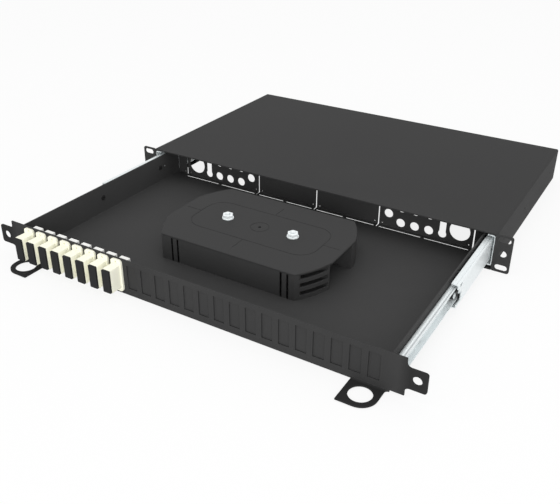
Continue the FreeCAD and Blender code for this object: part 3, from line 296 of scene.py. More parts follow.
def rolled_streaks():
    """Long streaks that rolling leaves along a strip of steel."""
    tree, start, end = group_tree(
        "Rolled streaks", [("Vector", "NodeSocketVector", None), ("Width", "NodeSocketFloat", 0.001)],
        [("Height", "NodeSocketFloat"), ("Streak", "NodeSocketFloat"), ("Bloom", "NodeSocketFloat")])
    stretch = add_node(tree, "ShaderNodeMapping", {"Scale": (1.0, 0.03, 1.0)})
    tree.links.new(start.outputs["Vector"], stretch.inputs["Vector"])
    scale = math_node(tree, "DIVIDE", 1.0, start.outputs["Width"])
    streak = noise(tree, stretch.outputs["Vector"], scale, detail=4.0, rough=0.65)
    bloom = noise(tree, start.outputs["Vector"], scale=160.0, detail=3.0, rough=0.7)
    tree.links.new(streak, end.inputs["Height"])
    tree.links.new(streak, end.inputs["Streak"])
    tree.links.new(bloom, end.inputs["Bloom"])
    return tree


def moulded_skin():
    """Fine spark-eroded texture of moulded plastic, with faint flow shading."""
    tree, start, end = group_tree(
        "Moulded skin", [("Vector", "NodeSocketVector", None), ("Size", "NodeSocketFloat", 0.0005)],
        [("Height", "NodeSocketFloat"), ("Flow", "NodeSocketFloat")])
    scale = math_node(tree, "DIVIDE", 1.0, start.outputs["Size"])
    cells = add_node(tree, "ShaderNodeTexVoronoi", {"Randomness": 1.0}, feature="SMOOTH_F1")
    tree.links.new(start.outputs["Vector"], cells.inputs["Vector"])
    tree.links.new(scale, cells.inputs["Scale"])
    fine = noise(tree, start.outputs["Vector"], scale, detail=2.0, rough=0.5)
    pits = math_node(tree, "MULTIPLY", cells.outputs["Distance"], 0.5)
    tree.links.new(math_node(tree, "ADD", pits, math_node(tree, "MULTIPLY", fine, 0.5)), end.inputs["Height"])
    flow = noise(tree, start.outputs["Vector"], scale=45.0, detail=3.0, rough=0.6)
    tree.links.new(flow, end.inputs["Flow"])
    return tree


def settled_dust():
    """Patches of thin dust and finger marks, as a mask."""
    tree, start, end = group_tree("Settled dust", [("Vector", "NodeSocketVector", None)],
                                  [("Dust", "NodeSocketFloat")])
    broad = noise(tree, start.outputs["Vector"], scale=14.0, detail=5.0, rough=0.62)
    fine = noise(tree, start.outputs["Vector"], scale=420.0, detail=2.0, rough=0.5)
    patch = add_node(tree, "ShaderNodeMapRange", {"From Min": 0.42, "From Max": 0.75}, clamp=True)
    tree.links.new(broad, patch.inputs["Value"])
    mask = math_node(tree, "MULTIPLY", patch.outputs["Result"], math_node(tree, "MULTIPLY", fine, 1.2))
    tree.links.new(mask, end.inputs["Dust"])
    return tree


def away_from_place():
    """Mask that rises from 0 to 1 as the distance from a place along one direction goes from start to end."""
    tree, start, end = group_tree(
        "Away from place",
        [("Vector", "NodeSocketVector", None), ("Along", "NodeSocketVector", (1.0, 0.0, 0.0)),
         ("Place", "NodeSocketFloat", 0.0), ("Start", "NodeSocketFloat", 0.001),
         ("End", "NodeSocketFloat", 0.002)],
        [("Mask", "NodeSocketFloat")])
    dot = add_node(tree, "ShaderNodeVectorMath", operation="DOT_PRODUCT")
    tree.links.new(start.outputs["Vector"], dot.inputs[0])
    tree.links.new(start.outputs["Along"], dot.inputs[1])
    offset = math_node(tree, "SUBTRACT", dot.outputs["Value"], start.outputs["Place"])
    ramp = add_node(tree, "ShaderNodeMapRange", clamp=True)
    tree.links.new(math_node(tree, "ABSOLUTE", offset, 0.0), ramp.inputs["Value"])
    tree.links.new(start.outputs["Start"], ramp.inputs["From Min"])
    tree.links.new(start.outputs["End"], ramp.inputs["From Max"])
    tree.links.new(ramp.outputs["Result"], end.inputs["Mask"])
    return tree


GROUP_MAKERS = {"Coat grain": coat_grain, "Edge rounding": edge_rounding, "Rolled streaks": rolled_streaks,
                "Moulded skin": moulded_skin, "Settled dust": settled_dust,
                "Away from place": away_from_place}


def place_group(tree, name, **values):
    """A shared group placed in a material, made on first use."""
    shared = bpy.data.node_groups.get(name) or GROUP_MAKERS[name]()
    node = add_node(tree, "ShaderNodeGroup", node_tree=shared)
    for label, value in values.items():
        node.inputs[label].default_value = value
    if "Vector" in node.inputs:
        position = tree.nodes.get("Texture Coordinate") or add_node(tree, "ShaderNodeTexCoord")
        tree.links.new(position.outputs["Object"], node.inputs["Vector"])
    return node


# Materials

COAT_MOTTLE = 0.10
WEAR_AND_HIGHLIGHT_SHARE = 0.35
DUST_SHARE = 0.035
DUST_COLOUR = (0.3, 0.3, 0.29)
DUST_ROUGHNESS = 0.12
COAT_ROUGH_SPREAD = (-0.06, 0.04)
BLOOM_SHARE = 0.25
BLOOM_SHADE = 0.85
METAL_EDGE = 0.25 * MM
STREAK_DEPTH = 0.01 * MM
METAL_ROUGH_SPREAD = 0.07
FLOW_SHADE = 0.05
FLOW_ROUGH_SPREAD = 0.06


def new_material(name, roughness, metallic=0.0, specular=0.5):
    """Material with one shader and nothing else; returns it, its tree and the shader."""
    material = bpy.data.materials.new(name)
    material.use_nodes = True
    tree = material.node_tree
    shader = tree.nodes["Principled BSDF"]
    shader.inputs["Roughness"].default_value = roughness
    shader.inputs["Metallic"].default_value = metallic
    shader.inputs["Specular IOR Level"].default_value = specular
    return material, tree, shader


def blend_colour(tree, mask, low, high):
    """Colour that goes from low to high with a mask; low may be a socket."""
    mix = add_node(tree, "ShaderNodeMix", data_type="RGBA")
    tree.links.new(mask, mix.inputs["Factor"])
    if isinstance(low, bpy.types.NodeSocket):
        tree.links.new(low, mix.inputs["A"])
    else:
        mix.inputs["A"].default_value = (*low, 1.0)
    mix.inputs["B"].default_value = (*high, 1.0)
    return mix.outputs["Result"]


def spread(tree, value, low, high):
    """Maps a 0 to 1 value onto a range."""
    node = add_node(tree, "ShaderNodeMapRange", {"To Min": low, "To Max": high})
    tree.links.new(value, node.inputs["Value"])
    return node.outputs["Result"]


def set_bump(tree, shader, height, depth, strength, edge=None):
    """Feeds the shader's normal with a bump of the given depth, over rounded edges."""
    bump = add_node(tree, "ShaderNodeBump", {"Strength": strength, "Distance": depth})
    tree.links.new(height, bump.inputs["Height"])
    if edge is not None:
        tree.links.new(edge.outputs["Normal"], bump.inputs["Normal"])
    tree.links.new(bump.outputs["Normal"], shader.inputs["Normal"])


def scaled(colour, factor):
    """Colour with each channel multiplied by a factor."""
    return [channel * factor for channel in colour]


def tint(tree, shader, mask, factor):
    """Scales the shader's colour by the factor where the mask is 1."""
    old = shader.inputs["Base Color"].links[0].from_socket
    share = spread(tree, mask, 1.0, factor)
    scale = add_node(tree, "ShaderNodeVectorMath", operation="SCALE")
    tree.links.new(old, scale.inputs[0])
    tree.links.new(share, scale.inputs["Scale"])
    tree.links.new(scale.outputs["Vector"], shader.inputs["Base Color"])


def shader_of(material):
    """The material's Principled shader."""
    return next(node for node in material.node_tree.nodes if node.type == "BSDF_PRINCIPLED")


def coat_material(name, colour):
    """Matt black powder coat on sheet steel."""
    settings = bpy.context.scene.drawer_coat
    material, tree, shader = new_material(name, settings.roughness, specular=settings.gloss)
    grain = place_group(tree, "Coat grain", Grain=settings.grain)
    edge = place_group(tree, "Edge rounding", Radius=settings.edge)
    dust = place_group(tree, "Settled dust")
    base = blend_colour(tree, grain.outputs["Shade"], scaled(colour, 1 - COAT_MOTTLE),
                        scaled(colour, 1 + COAT_MOTTLE))
    # Edges lightened towards the edge colour: partly rubbed bright by handling, partly a painted highlight
    wear_and_highlight = math_node(tree, "MULTIPLY", edge.outputs["Edge"], WEAR_AND_HIGHLIGHT_SHARE)
    worn_and_highlit = blend_colour(tree, wear_and_highlight, base, settings.worn_and_highlight_colour)
    film = math_node(tree, "MULTIPLY", dust.outputs["Dust"], DUST_SHARE)
    tree.links.new(blend_colour(tree, film, worn_and_highlit, DUST_COLOUR), shader.inputs["Base Color"])
    low, high = [settings.roughness + change for change in COAT_ROUGH_SPREAD]
    clean = spread(tree, grain.outputs["Shade"], low, high)
    rough = math_node(tree, "ADD", clean, math_node(tree, "MULTIPLY", dust.outputs["Dust"], DUST_ROUGHNESS))
    tree.links.new(rough, shader.inputs["Roughness"])
    set_bump(tree, shader, grain.outputs["Height"], settings.relief, strength=0.5, edge=edge)
    return material


def metal_material(name, bright, shade, roughness, streak_width, metallic=1.0):
    """Zinc-plated or plain rolled steel; satin plate scatters, so its metallic share is lower."""
    material, tree, shader = new_material(name, roughness, metallic=metallic)
    rolled = place_group(tree, "Rolled streaks", Width=streak_width)
    edge = place_group(tree, "Edge rounding", Radius=METAL_EDGE)
    tone = blend_colour(tree, rolled.outputs["Streak"], shade, bright)
    bloom = math_node(tree, "MULTIPLY", rolled.outputs["Bloom"], BLOOM_SHARE)
    tree.links.new(blend_colour(tree, bloom, tone, scaled(bright, BLOOM_SHADE)), shader.inputs["Base Color"])
    rough = spread(tree, rolled.outputs["Bloom"], roughness - METAL_ROUGH_SPREAD,
                   roughness + METAL_ROUGH_SPREAD)
    tree.links.new(rough, shader.inputs["Roughness"])
    set_bump(tree, shader, rolled.outputs["Height"], STREAK_DEPTH, strength=0.5, edge=edge)
    return material


def steel_material(name, shade, roughness):
    """Bare steel, whose rolled streaks are darker by the factor shade."""
    metal = bpy.context.scene.drawer_metal
    return metal_material(name, metal.steel, scaled(metal.steel, shade), roughness, metal.streak)


def plastic_material(name, colour, roughness, relief, specular=0.5):
    """Moulded plastic with its skin texture."""
    settings = bpy.context.scene.drawer_plastic
    material, tree, shader = new_material(name, roughness, specular=specular)
    skin = place_group(tree, "Moulded skin", Size=settings.sparkle)
    edge = place_group(tree, "Edge rounding", Radius=settings.moulded_edge)
    base = blend_colour(tree, skin.outputs["Flow"], scaled(colour, 1 - FLOW_SHADE),
                        scaled(colour, 1 + FLOW_SHADE))
    tree.links.new(base, shader.inputs["Base Color"])
    rough = spread(tree, skin.outputs["Flow"], roughness - FLOW_ROUGH_SPREAD, roughness + FLOW_ROUGH_SPREAD)
    tree.links.new(rough, shader.inputs["Roughness"])
    set_bump(tree, shader, skin.outputs["Height"], relief, strength=0.4, edge=edge)
    return material


def dress(names, material):
    """Gives a material to model nodes."""
    for name in names:
        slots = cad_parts[name].material_slots
        for slot in slots:
            slot.link = "OBJECT"
            slot.material = material


# Shading of carried-over sheet and moulded parts

WELD_DISTANCE = 0.002 * MM
CREASE_ANGLE = math.radians(32)


def crease_tree():
    """Geometry group that joins loose facets and shades them smooth up to a crease angle."""
    tree = bpy.data.node_groups.new("Crease shading", "GeometryNodeTree")
    tree.interface.new_socket("Geometry", in_out="INPUT", socket_type="NodeSocketGeometry")
    tree.interface.new_socket("Geometry", in_out="OUTPUT", socket_type="NodeSocketGeometry")
    start = tree.nodes.new("NodeGroupInput")
    end = tree.nodes.new("NodeGroupOutput")
    merge = add_node(tree, "GeometryNodeMergeByDistance", {"Distance": WELD_DISTANCE})
    faces = add_node(tree, "GeometryNodeSetShadeSmooth", {"Shade Smooth": True}, domain="FACE")
    edges = add_node(tree, "GeometryNodeSetShadeSmooth", {"Shade Smooth": False}, domain="EDGE")
    angle = add_node(tree, "GeometryNodeInputMeshEdgeAngle")
    sharp = add_node(tree, "FunctionNodeCompare", {"B": CREASE_ANGLE}, data_type="FLOAT",
                     operation="GREATER_THAN")
    links = tree.links
    links.new(start.outputs[0], merge.inputs["Geometry"])
    links.new(merge.outputs["Geometry"], faces.inputs["Geometry"])
    links.new(faces.outputs["Geometry"], edges.inputs["Geometry"])
    links.new(angle.outputs["Unsigned Angle"], sharp.inputs["A"])
    links.new(sharp.outputs["Result"], edges.inputs["Selection"])
    links.new(edges.outputs["Geometry"], end.inputs[0])
    return tree


def crease_shade(names):
    """Adds the crease shading to model nodes."""
    tree = bpy.data.node_groups.get("Crease shading") or crease_tree()
    for name in names:
        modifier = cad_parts[name].modifiers.new("Crease shading", "NODES")
        modifier.node_group = tree


# Modelling helpers

def clear_selection():
    """Nothing selected, so that the next operator acts only on what it adds."""
    if bpy.context.object and bpy.context.object.mode != "OBJECT":
        bpy.ops.object.mode_set(mode="OBJECT")
    bpy.ops.object.select_all(action="DESELECT")


def use_only(obj):
    """Selects one object and makes it active."""
    clear_selection()
    obj.select_set(True)
    bpy.context.view_layer.objects.active = obj


def settle(obj, name):
    """Names a finished piece and puts its place into its mesh."""
    use_only(obj)
    bpy.ops.object.transform_apply(location=True, rotation=True, scale=True)
    obj.name = name
    obj.data.name = name
    return obj


def apply_modifier(obj, kind, **settings):
    """Adds a modifier, sets it up and applies it."""
    use_only(obj)
    modifier = obj.modifiers.new(kind.title(), kind)
    for key, value in settings.items():
        setattr(modifier, key, value)
    bpy.ops.object.modifier_apply(modifier=modifier.name)


def join_pieces(pieces, name):
    """Joins finished pieces into one object."""
    clear_selection()
    for piece in pieces:
        piece.select_set(True)
    bpy.context.view_layer.objects.active = pieces[0]
    bpy.ops.object.join()
    pieces[0].name = name
    pieces[0].data.name = name
    return pieces[0]


def copy_piece(obj, offset):
    """Copy with its own mesh, moved by an offset that goes into the mesh."""
    use_only(obj)
    bpy.ops.object.duplicate(linked=False)
    twin = bpy.context.object
    twin.location = offset
    bpy.ops.object.transform_apply(location=True, rotation=True, scale=True)
    return twin


def smooth_by_angle(obj, degrees):
    """Shades a piece smooth where its faces meet below an angle."""
    use_only(obj)
    bpy.ops.object.shade_smooth_by_angle(angle=math.radians(degrees))


def give_material(obj, material):
    """Makes a material the only one of a new piece."""
    obj.data.materials.clear()
    obj.data.materials.append(material)


# Feet of the rear plates

BEND_STEPS = 6
BRIDGE_OVERLAP = 0.2 * MM
BRIDGE_EDGE = 0.1 * MM


def box_piece(low, high, name):
    """Cube stretched between two corners."""
    clear_selection()
    bpy.ops.mesh.primitive_cube_add(size=1, location=(Vector(low) + Vector(high)) / 2)
    piece = bpy.context.object
    piece.scale = Vector(high) - Vector(low)
    return settle(piece, name)


def plate_foot(settings, x0, x1):
    """One plate's foot: the strip's end face is pushed back and spun up round the bend, then bridged."""
    low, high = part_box("rear_plate_feet")
    middle = low.z + settings.sheet / 2
    start = low.y + settings.slit
    reach = settings.bend + settings.sheet
    centre = (x0 + x1) / 2
    clear_selection()
    bpy.ops.mesh.primitive_plane_add(size=1, location=(centre, start, middle), rotation=(math.pi / 2, 0, 0))
    foot = bpy.context.object
    foot.scale = (x1 - x0, settings.sheet, 1)
    bpy.ops.object.transform_apply(location=True, rotation=True, scale=True)
    bpy.ops.object.mode_set(mode="EDIT")
    bpy.ops.mesh.select_all(action="SELECT")
    bpy.ops.mesh.extrude_region_move(TRANSFORM_OT_translate={"value": (0, high.y - reach - start, 0)})
    bpy.ops.mesh.spin(steps=BEND_STEPS, angle=-math.pi / 2, center=(0, high.y - reach, low.z + reach),
                      axis=(1, 0, 0))
    bpy.ops.mesh.select_all(action="SELECT")
    bpy.ops.mesh.normals_make_consistent(inside=False)
    bpy.ops.object.mode_set(mode="OBJECT")
    spans = ((x0, x0 + settings.end_bridge), (x1 - settings.end_bridge, x1),
             (centre - settings.middle_bridge / 2, centre + settings.middle_bridge / 2))
    pieces = [settle(foot, "foot")]
    for a, b in spans:
        far = (b, start + BRIDGE_OVERLAP, low.z + settings.sheet)
        pieces.append(box_piece((a, low.y, low.z), far, "bridge"))
        apply_modifier(pieces[-1], "BEVEL", width=BRIDGE_EDGE, segments=2)
    return join_pieces(pieces, "plate_foot")


# Cassette hardware: the hexagon is lower than the node's box, as the photograph shows it

HEXAGON_SHORT = 0.9 * MM
HEXAGON_DROP = 0.25 * MM
CROWN_CHAMFER = 0.75 * MM
FLANGE_LEDGE = 0.1 * MM
FLANGE_EDGE = 0.2 * MM
BORE_DEPTH = 40 * MM
BORE_CLEARANCE = 0.12 * MM
STUD_CHAMFER = 0.4 * MM
THREAD_WELD = 0.005 * MM
THREAD_DEPTH = 0.6
THREAD_START = 0.5
# One turn of thread: 0 at its root or 1 at its crest, and the rise in pitches
THREAD_TURN = ((0, 0.0), (0, 0.12), (1, 0.44), (1, 0.56), (0, 0.88), (0, 1.0))


def bored(obj, centre, radius):
    """Bores a round hole down through a piece."""
    clear_selection()
    bpy.ops.mesh.primitive_cylinder_add(vertices=48, radius=radius, depth=BORE_DEPTH,
                                        location=(*centre, NUT_LOW.z))
    bore = bpy.context.object
    apply_modifier(obj, "BOOLEAN", operation="DIFFERENCE", object=bore, solver="EXACT")
    bpy.data.objects.remove(bore)


def hex_nut(settings, centre):
    """Flange nut: a hexagon with chamfered corners on a sloping round flange, bored through."""
    low, high = NUT_LOW.z, NUT_HIGH.z
    seat = settings.flange_rise
    corner = settings.across_flats / 2 / math.cos(math.pi / 6)
    clear_selection()
    bpy.ops.mesh.primitive_cylinder_add(vertices=6, radius=corner, depth=high - low - HEXAGON_SHORT,
                                        location=(*centre, (low + high) / 2 - HEXAGON_DROP),
                                        rotation=(0, 0, math.pi / 6))
    hexagon = bpy.context.object
    apply_modifier(hexagon, "BEVEL", width=CROWN_CHAMFER, segments=3, limit_method="ANGLE",
                   angle_limit=math.radians(75))
    clear_selection()
    bpy.ops.mesh.primitive_cone_add(vertices=72, radius1=settings.flange / 2, radius2=corner + FLANGE_LEDGE,
                                    depth=seat, location=(*centre, low + seat / 2))
    flange = bpy.context.object
    apply_modifier(flange, "BEVEL", width=FLANGE_EDGE, segments=2, limit_method="ANGLE",
                   angle_limit=math.radians(35))
    for piece in (hexagon, flange):
        bored(piece, centre, settings.thread / 2 + BORE_CLEARANCE)
        smooth_by_angle(piece, 35)
    return join_pieces([settle(hexagon, "hexagon"), settle(flange, "flange")], "flange_nut")


def extruded_line(points):
    """Open line of edges: a plane merged to one corner, which is extruded from point to point."""
    clear_selection()
    bpy.ops.mesh.primitive_plane_add(size=1 * MM, location=(0, 0, 0))
    line = bpy.context.object
    bpy.ops.object.mode_set(mode="EDIT")
    bpy.ops.mesh.select_all(action="SELECT")
    bpy.ops.mesh.merge(type="CENTER")
    bpy.ops.mesh.select_all(action="SELECT")
    bpy.ops.transform.translate(value=points[0])
    for before, after in zip(points, points[1:]):
        bpy.ops.mesh.extrude_vertices_move(TRANSFORM_OT_translate={"value": Vector(after) - Vector(before)})
    bpy.ops.object.mode_set(mode="OBJECT")
    return line


def close_outward(obj):
    """Fills a piece's open ends and turns its faces outwards."""
    use_only(obj)
    bpy.ops.object.mode_set(mode="EDIT")
    bpy.ops.mesh.select_all(action="SELECT")
    bpy.ops.mesh.fill_holes(sides=0)
    bpy.ops.mesh.select_all(action="SELECT")
    bpy.ops.mesh.normals_make_consistent(inside=False)
    if bmesh.from_edit_mesh(obj.data).calc_volume(signed=True) < 0:
        bpy.ops.mesh.flip_normals()
    bpy.ops.object.mode_set(mode="OBJECT")


def threaded_stud(settings, centre):
    """Stud with a real thread: one turn's profile is screwed up its length."""
    x, y = centre
    low, high = STUD_LOW.z, STUD_HIGH.z
    radius, pitch = settings.thread / 2, settings.pitch
    root = radius - THREAD_DEPTH * pitch
    blade = extruded_line([(radius if crest else root, 0, rise * pitch) for crest, rise in THREAD_TURN])
    count = int((high - low) / pitch) - 1
    blade.location = (x, y, low + THREAD_START * pitch)
    apply_modifier(blade, "SCREW", axis="Z", angle=2 * math.pi, screw_offset=pitch, iterations=count,
                   steps=settings.turns, render_steps=settings.turns, use_merge_vertices=True,
                   merge_threshold=THREAD_WELD, use_normal_calculate=True)
    close_outward(blade)
    clear_selection()
    bpy.ops.mesh.primitive_cylinder_add(vertices=settings.turns, radius=root, depth=high - low,
                                        location=(x, y, (low + high) / 2))
    core = bpy.context.object
    apply_modifier(core, "BEVEL", width=STUD_CHAMFER, segments=2, limit_method="ANGLE",
                   angle_limit=math.radians(60))
    stud = join_pieces([settle(blade, "thread"), settle(core, "core")], "threaded_stud")
    smooth_by_angle(stud, 40)
    return stud


def stud_centres():
    """Centres of the two studs, from the nuts' own box."""
    reach = (NUT_HIGH.y - NUT_LOW.y) / 2
    y = (NUT_LOW.y + NUT_HIGH.y) / 2
    return [(NUT_LOW.x + reach, y), (NUT_HIGH.x - reach, y)]


# Stage

FLOOR_SIZE = 16
FLOOR_GAP = 0.2 * MM
FLOOR_COLOUR = (0.86, 0.86, 0.86)
FLOOR_GLOW = 0.86
TOP_LAMP_PLACE = Vector((0.1, -0.35, 1.6))
TOP_LAMP_AIM = Vector((0, -0.1, 0))
TOP_LAMP_SIZE = 1.6
SIDE_LAMP_PLACE = Vector((0.8, -1.6, 0.4))
SIDE_LAMP_SIZE = 1.0
SENSOR_WIDTH = 36
CLIPPING = (0.01, 50)


def camera_sees(tree):
    """One where the camera sees this surface, straight or mirrored in metal or through glass."""
    rays = add_node(tree, "ShaderNodeLightPath").outputs
    straight = math_node(tree, "MAXIMUM", rays["Is Camera Ray"], rays["Is Glossy Ray"])
    return math_node(tree, "MAXIMUM", straight, rays["Is Transmission Ray"])


def make_floor(settings):
    """Pale floor under the cover, which keeps a soft shadow."""
    clear_selection()
    bpy.ops.mesh.primitive_plane_add(size=FLOOR_SIZE, location=(0, 0, COVER_LOW.z - FLOOR_GAP))
    floor = bpy.context.object
    floor.name = "floor"
    bpy.ops.object.transform_apply(location=True, rotation=True, scale=True)
    material, tree, shader = new_material("Pale floor", roughness=0.9, specular=0.0)
    shader.inputs["Base Color"].default_value = (*FLOOR_COLOUR, 1.0)
    glow = add_node(tree, "ShaderNodeEmission", {"Color": (*settings.backdrop, 1.0), "Strength": 1.0})
    mix = add_node(tree, "ShaderNodeMixShader")
    tree.links.new(math_node(tree, "MULTIPLY", camera_sees(tree), FLOOR_GLOW), mix.inputs[0])
    tree.links.new(shader.outputs[0], mix.inputs[1])
    tree.links.new(glow.outputs[0], mix.inputs[2])
    tree.links.new(mix.outputs[0], tree.nodes["Material Output"].inputs["Surface"])
    give_material(floor, material)


def make_sky(settings):
    """Even light from all round, white where the camera sees it."""
    world = bpy.data.worlds.new("Studio")
    world.use_nodes = True
    tree = world.node_tree
    plain = tree.nodes["Background"]
    plain.inputs["Color"].default_value = (1.0, 1.0, 1.0, 1.0)
    plain.inputs["Strength"].default_value = settings.sky
    seen = add_node(tree, "ShaderNodeBackground", {"Color": (*settings.backdrop, 1.0), "Strength": 1.0})
    mix = add_node(tree, "ShaderNodeMixShader")
    tree.links.new(camera_sees(tree), mix.inputs[0])
    tree.links.new(plain.outputs[0], mix.inputs[1])
    tree.links.new(seen.outputs[0], mix.inputs[2])
    tree.links.new(mix.outputs[0], tree.nodes["World Output"].inputs["Surface"])
    bpy.context.scene.world = world


def make_lamp(name, place, target, size, power):
    """Soft box that looks at a target."""
    clear_selection()
    turn = (Vector(target) - Vector(place)).to_track_quat("-Z", "Y").to_euler()
    bpy.ops.object.light_add(type="AREA", location=place, rotation=turn)
    lamp = bpy.context.object
    lamp.name = name
    lamp.data.shape = "DISK"
    lamp.data.size = size
    lamp.data.energy = power
    lamp.visible_glossy = False


def make_camera(settings):
    """Camera at the photograph's viewpoint."""
    clear_selection()
    bpy.ops.object.camera_add(location=settings.camera_place, rotation=settings.camera_turn)
    camera = bpy.context.object
    camera.name = "camera"
    camera.data.sensor_width = SENSOR_WIDTH
    camera.data.lens = settings.lens
    camera.data.shift_x, camera.data.shift_y = settings.shift
    camera.data.clip_start, camera.data.clip_end = CLIPPING
    bpy.context.scene.camera = camera


# Operators

class DRAWER_OT_cover(bpy.types.Operator):
    """Coat the top cover and its rivets"""
    bl_idname = "drawer.cover"
    bl_label = "Finish cover"

    def execute(self, context):
        material = coat_material("Cover coat", context.scene.drawer_coat.colour)
        dress(["top_cover", "cover_rivets"], material)
        crease_shade(["top_cover", "cover_rivets"])
        return {"FINISHED"}


class DRAWER_OT_tray(bpy.types.Operator):
    """Coat the drawer tray and its rivets, the front panel and the blanks; the tray's coat is lightened as
    painted light and the panel's ears and pull rings are darkened as painted shade
    """
    bl_idname = "drawer.tray"
    bl_label = "Finish drawer"

    def execute(self, context):
        settings = context.scene.drawer_coat
        inside = ["drawer_tray", "tray_flanges"]
        face = ["front_panel", "blank_plates"]
        # Painted light: the tray and its flanges get the lighter copy of the coat
        dress(inside, coat_material("Tray coat", settings.tray_painted_light_colour))
        panel = coat_material("Panel coat", settings.colour)
        # Painted shade: the panel's colour is darkened on its ears and on its pull rings
        ear = PANEL_HIGH.x - EAR_REACH
        tree = panel.node_tree
        ears = place_group(tree, "Away from place", Start=ear + PAINTED_EAR_SHADE_FADE[0], End=ear + PAINTED_EAR_SHADE_FADE[1])
        rings = place_group(tree, "Away from place", Along=(0.0, 1.0, 0.0), Place=PANEL_HIGH.y,
                            Start=PAINTED_RING_SHADE_FADE[0], End=PAINTED_RING_SHADE_FADE[1])
        painted_shade = math_node(tree, "MAXIMUM", ears.outputs["Mask"], rings.outputs["Mask"])
        tint(tree, shader_of(panel), painted_shade, settings.painted_ear_shade)
        dress(face, panel)
        dress(["drawer_rivets"], coat_material("Rivet coat", settings.rivet_colour))
        crease_shade(inside + face + ["drawer_rivets"])
        return {"FINISHED"}


class DRAWER_OT_rear_plates(bpy.types.Operator):
    """Coat the break-out rear plates and make their feet"""
    bl_idname = "drawer.rear_plates"
    bl_label = "Finish rear plates"

    def execute(self, context):
        names = sided("rear_plate_blank") + sided("rear_plate_holed")
        # Painted light: the rear plates and their feet get the lighter copy of the coat
        coat = coat_material("Rear plate coat", context.scene.drawer_coat.rear_painted_light_colour)
        dress(names, coat)
        crease_shade(names)
        spans = [(low.x, high.x) for low, high in (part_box(name) for name in names)]
        feet = join_pieces([plate_foot(context.scene.drawer_foot, a, b) for a, b in spans], "plate_feet")
        smooth_by_angle(feet, 35)
        give_material(feet, coat)
        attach(feet, "drawer")
        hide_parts("rear_plate_feet")
        return {"FINISHED"}


class DRAWER_OT_slides(bpy.types.Operator):
    """Plate the slide members and lever pins, and finish the steel cages and balls"""
    bl_idname = "drawer.slides"
    bl_label = "Finish slides"

    def execute(self, context):
        metal = context.scene.drawer_metal
        zinc = metal_material("Zinc plate", metal.zinc, metal.zinc_shade, metal.roughness, metal.streak,
                              metal.zinc_metallic)
        members = sided("slide_outer") + sided("slide_middle") + sided("slide_inner") + ["lever_pins"]
        dress(members, zinc)
        cages = sided("ball_cage_outer") + sided("ball_cage_inner")
        dress(cages, steel_material("Cage strip", shade=0.8, roughness=0.4))
        balls = sided("balls_outer") + sided("balls_inner")
        dress(balls, steel_material("Polished balls", shade=0.95, roughness=0.15))
        crease_shade(members + cages + balls)
        return {"FINISHED"}


class DRAWER_OT_levers(bpy.types.Operator):
    """Mould the release levers in black"""
    bl_idname = "drawer.levers"
    bl_label = "Finish levers"

    def execute(self, context):
        plastic = context.scene.drawer_plastic
        dress(sided("release_lever"), plastic_material("Lever plastic", plastic.lever, roughness=0.5,
                                                       relief=0.01 * MM, specular=0.3))
        crease_shade(sided("release_lever"))
        return {"FINISHED"}


class DRAWER_OT_adapters(bpy.types.Operator):
    """Mould the adapters and their caps, and finish the steel spring clips"""
    bl_idname = "drawer.adapters"
    bl_label = "Finish adapters"

    def execute(self, context):
        plastic = context.scene.drawer_plastic
        dress(ADAPTERS, plastic_material("Ivory plastic", plastic.ivory, roughness=0.42, relief=0.006 * MM))
        dress(CAPS, plastic_material("Cap plastic", plastic.cap, roughness=0.6, relief=0.012 * MM,
                                     specular=0.15))
        dress(["rear_caps"], plastic_material("Off-white plastic", plastic.off_white, roughness=0.45,
                                              relief=0.006 * MM))
        dress(["adapter_clips"], steel_material("Clip steel", shade=0.8, roughness=0.35))
        crease_shade(ADAPTERS + CAPS + ["rear_caps", "adapter_clips"])
        return {"FINISHED"}


class DRAWER_OT_cassette(bpy.types.Operator):
    """Mould the splice trays, the combs and the lid; the trays are darkened beside their slits as painted
    shade, and the lid takes a darker copy of their grey as painted shade
    """
    bl_idname = "drawer.cassette"
    bl_label = "Finish cassette"

    def execute(self, context):
        plastic = context.scene.drawer_plastic
        shell = plastic_material("Cassette plastic", plastic.cassette, roughness=0.65, relief=0.02 * MM,
                                 specular=0.1)
        tree = shell.node_tree
        # Painted shade: the trays' colour is darkened within the fade of each slit's middle
        clear = None
        for x in CASSETTE_SLITS:
            slit = place_group(tree, "Away from place", Place=x, Start=PAINTED_SLIT_SHADE_FADE[0], End=PAINTED_SLIT_SHADE_FADE[1])
            away = slit.outputs["Mask"]
            clear = away if clear is None else math_node(tree, "MINIMUM", clear, away)
        tint(tree, shader_of(shell), math_node(tree, "SUBTRACT", 1.0, clear), plastic.painted_slit_shade)
        dress(TRAYS, shell)
        # Painted shade: the lid takes the darker copy of the grey, for the light that falls on its top
        dress(["cassette_lid"], plastic_material("Lid plastic", plastic.lid, roughness=0.65, relief=0.02 * MM,
                                                 specular=0.1))
        dress(["splice_holders"], plastic_material("Comb plastic", plastic.lever, roughness=0.6,
                                                   relief=0.01 * MM, specular=0.3))
        crease_shade(TRAYS + ["cassette_lid", "splice_holders"])
        return {"FINISHED"}


class DRAWER_OT_hardware(bpy.types.Operator):
    """Make the flange nuts and threaded studs of the cassette"""
    bl_idname = "drawer.hardware"
    bl_label = "Make nuts and studs"

    def execute(self, context):
        settings = context.scene.drawer_hardware
        metal = context.scene.drawer_metal
        plate = metal_material("Bright nut plate", scaled(metal.zinc, 1.05), metal.zinc, roughness=0.3,
                               streak_width=0.4 * MM, metallic=metal.nut_metallic)
        left, right = stud_centres()
        offset = (right[0] - left[0], right[1] - left[1], 0)
        nut = hex_nut(settings, left)
        nuts = join_pieces([nut, copy_piece(nut, offset)], "flange_nuts")
        stud = threaded_stud(settings, left)
        studs = join_pieces([stud, copy_piece(stud, offset)], "threaded_studs")
        for piece, node in ((nuts, "cassette_nuts"), (studs, "cassette_studs")):
            give_material(piece, plate)
            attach(piece, "drawer")
            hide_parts(node)
        return {"FINISHED"}


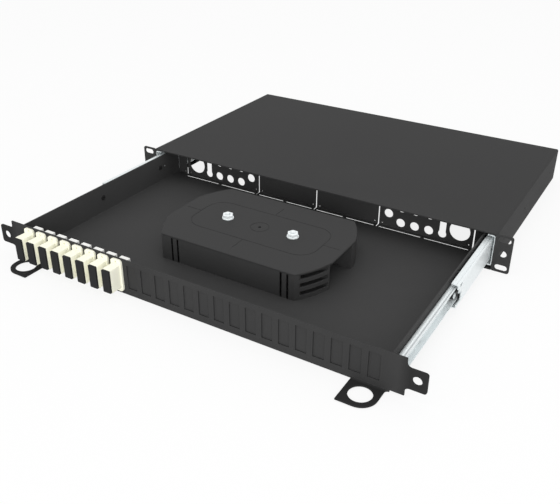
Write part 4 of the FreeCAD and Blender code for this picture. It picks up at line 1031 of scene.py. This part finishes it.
class DRAWER_OT_stage(bpy.types.Operator):
    """Set the floor, the soft light and the camera"""
    bl_idname = "drawer.stage"
    bl_label = "Set the stage"

    def execute(self, context):
        settings = context.scene.drawer_stage
        make_floor(settings)
        make_sky(settings)
        middle = (COVER_LOW + COVER_HIGH) / 2
        make_lamp("Top soft box", middle + TOP_LAMP_PLACE, middle + TOP_LAMP_AIM, TOP_LAMP_SIZE,
                  settings.top_lamp)
        make_lamp("Side soft box", middle + SIDE_LAMP_PLACE, middle, SIDE_LAMP_SIZE, settings.side_lamp)
        make_camera(settings)
        context.scene.view_settings.view_transform = "Standard"
        return {"FINISHED"}


class DRAWER_PT_panel(bpy.types.Panel):
    """Lists every step of the drawer's finish"""
    bl_label = "Patch Drawer"
    bl_idname = "DRAWER_PT_panel"
    bl_space_type = "VIEW_3D"
    bl_region_type = "UI"
    bl_category = "Patch Drawer"

    def draw(self, context):
        for step in STEPS:
            self.layout.operator(step.bl_idname)
        for name in SETTINGS:
            box = self.layout.box()
            group = getattr(context.scene, name)
            for key in type(group).__annotations__:
                box.prop(group, key)


STEPS = (DRAWER_OT_stage, DRAWER_OT_cover, DRAWER_OT_tray, DRAWER_OT_rear_plates, DRAWER_OT_slides,
         DRAWER_OT_levers, DRAWER_OT_adapters, DRAWER_OT_cassette, DRAWER_OT_hardware)


def register():
    """Registers the settings, the steps and the panel."""
    for group in SETTINGS.values():
        bpy.utils.register_class(group)
    for name, group in SETTINGS.items():
        setattr(bpy.types.Scene, name, PointerProperty(type=group))
    for step in STEPS:
        bpy.utils.register_class(step)
    bpy.utils.register_class(DRAWER_PT_panel)


def unregister():
    """Takes away all that register added."""
    bpy.utils.unregister_class(DRAWER_PT_panel)
    for step in reversed(STEPS):
        bpy.utils.unregister_class(step)
    for name in SETTINGS:
        delattr(bpy.types.Scene, name)
    for group in reversed(list(SETTINGS.values())):
        bpy.utils.unregister_class(group)


def main():
    """Runs every step in order."""
    register()
    for step in STEPS:
        family, action = step.bl_idname.split(".")
        getattr(getattr(bpy.ops, family), action)()


if __name__ == "__main__":
    main()
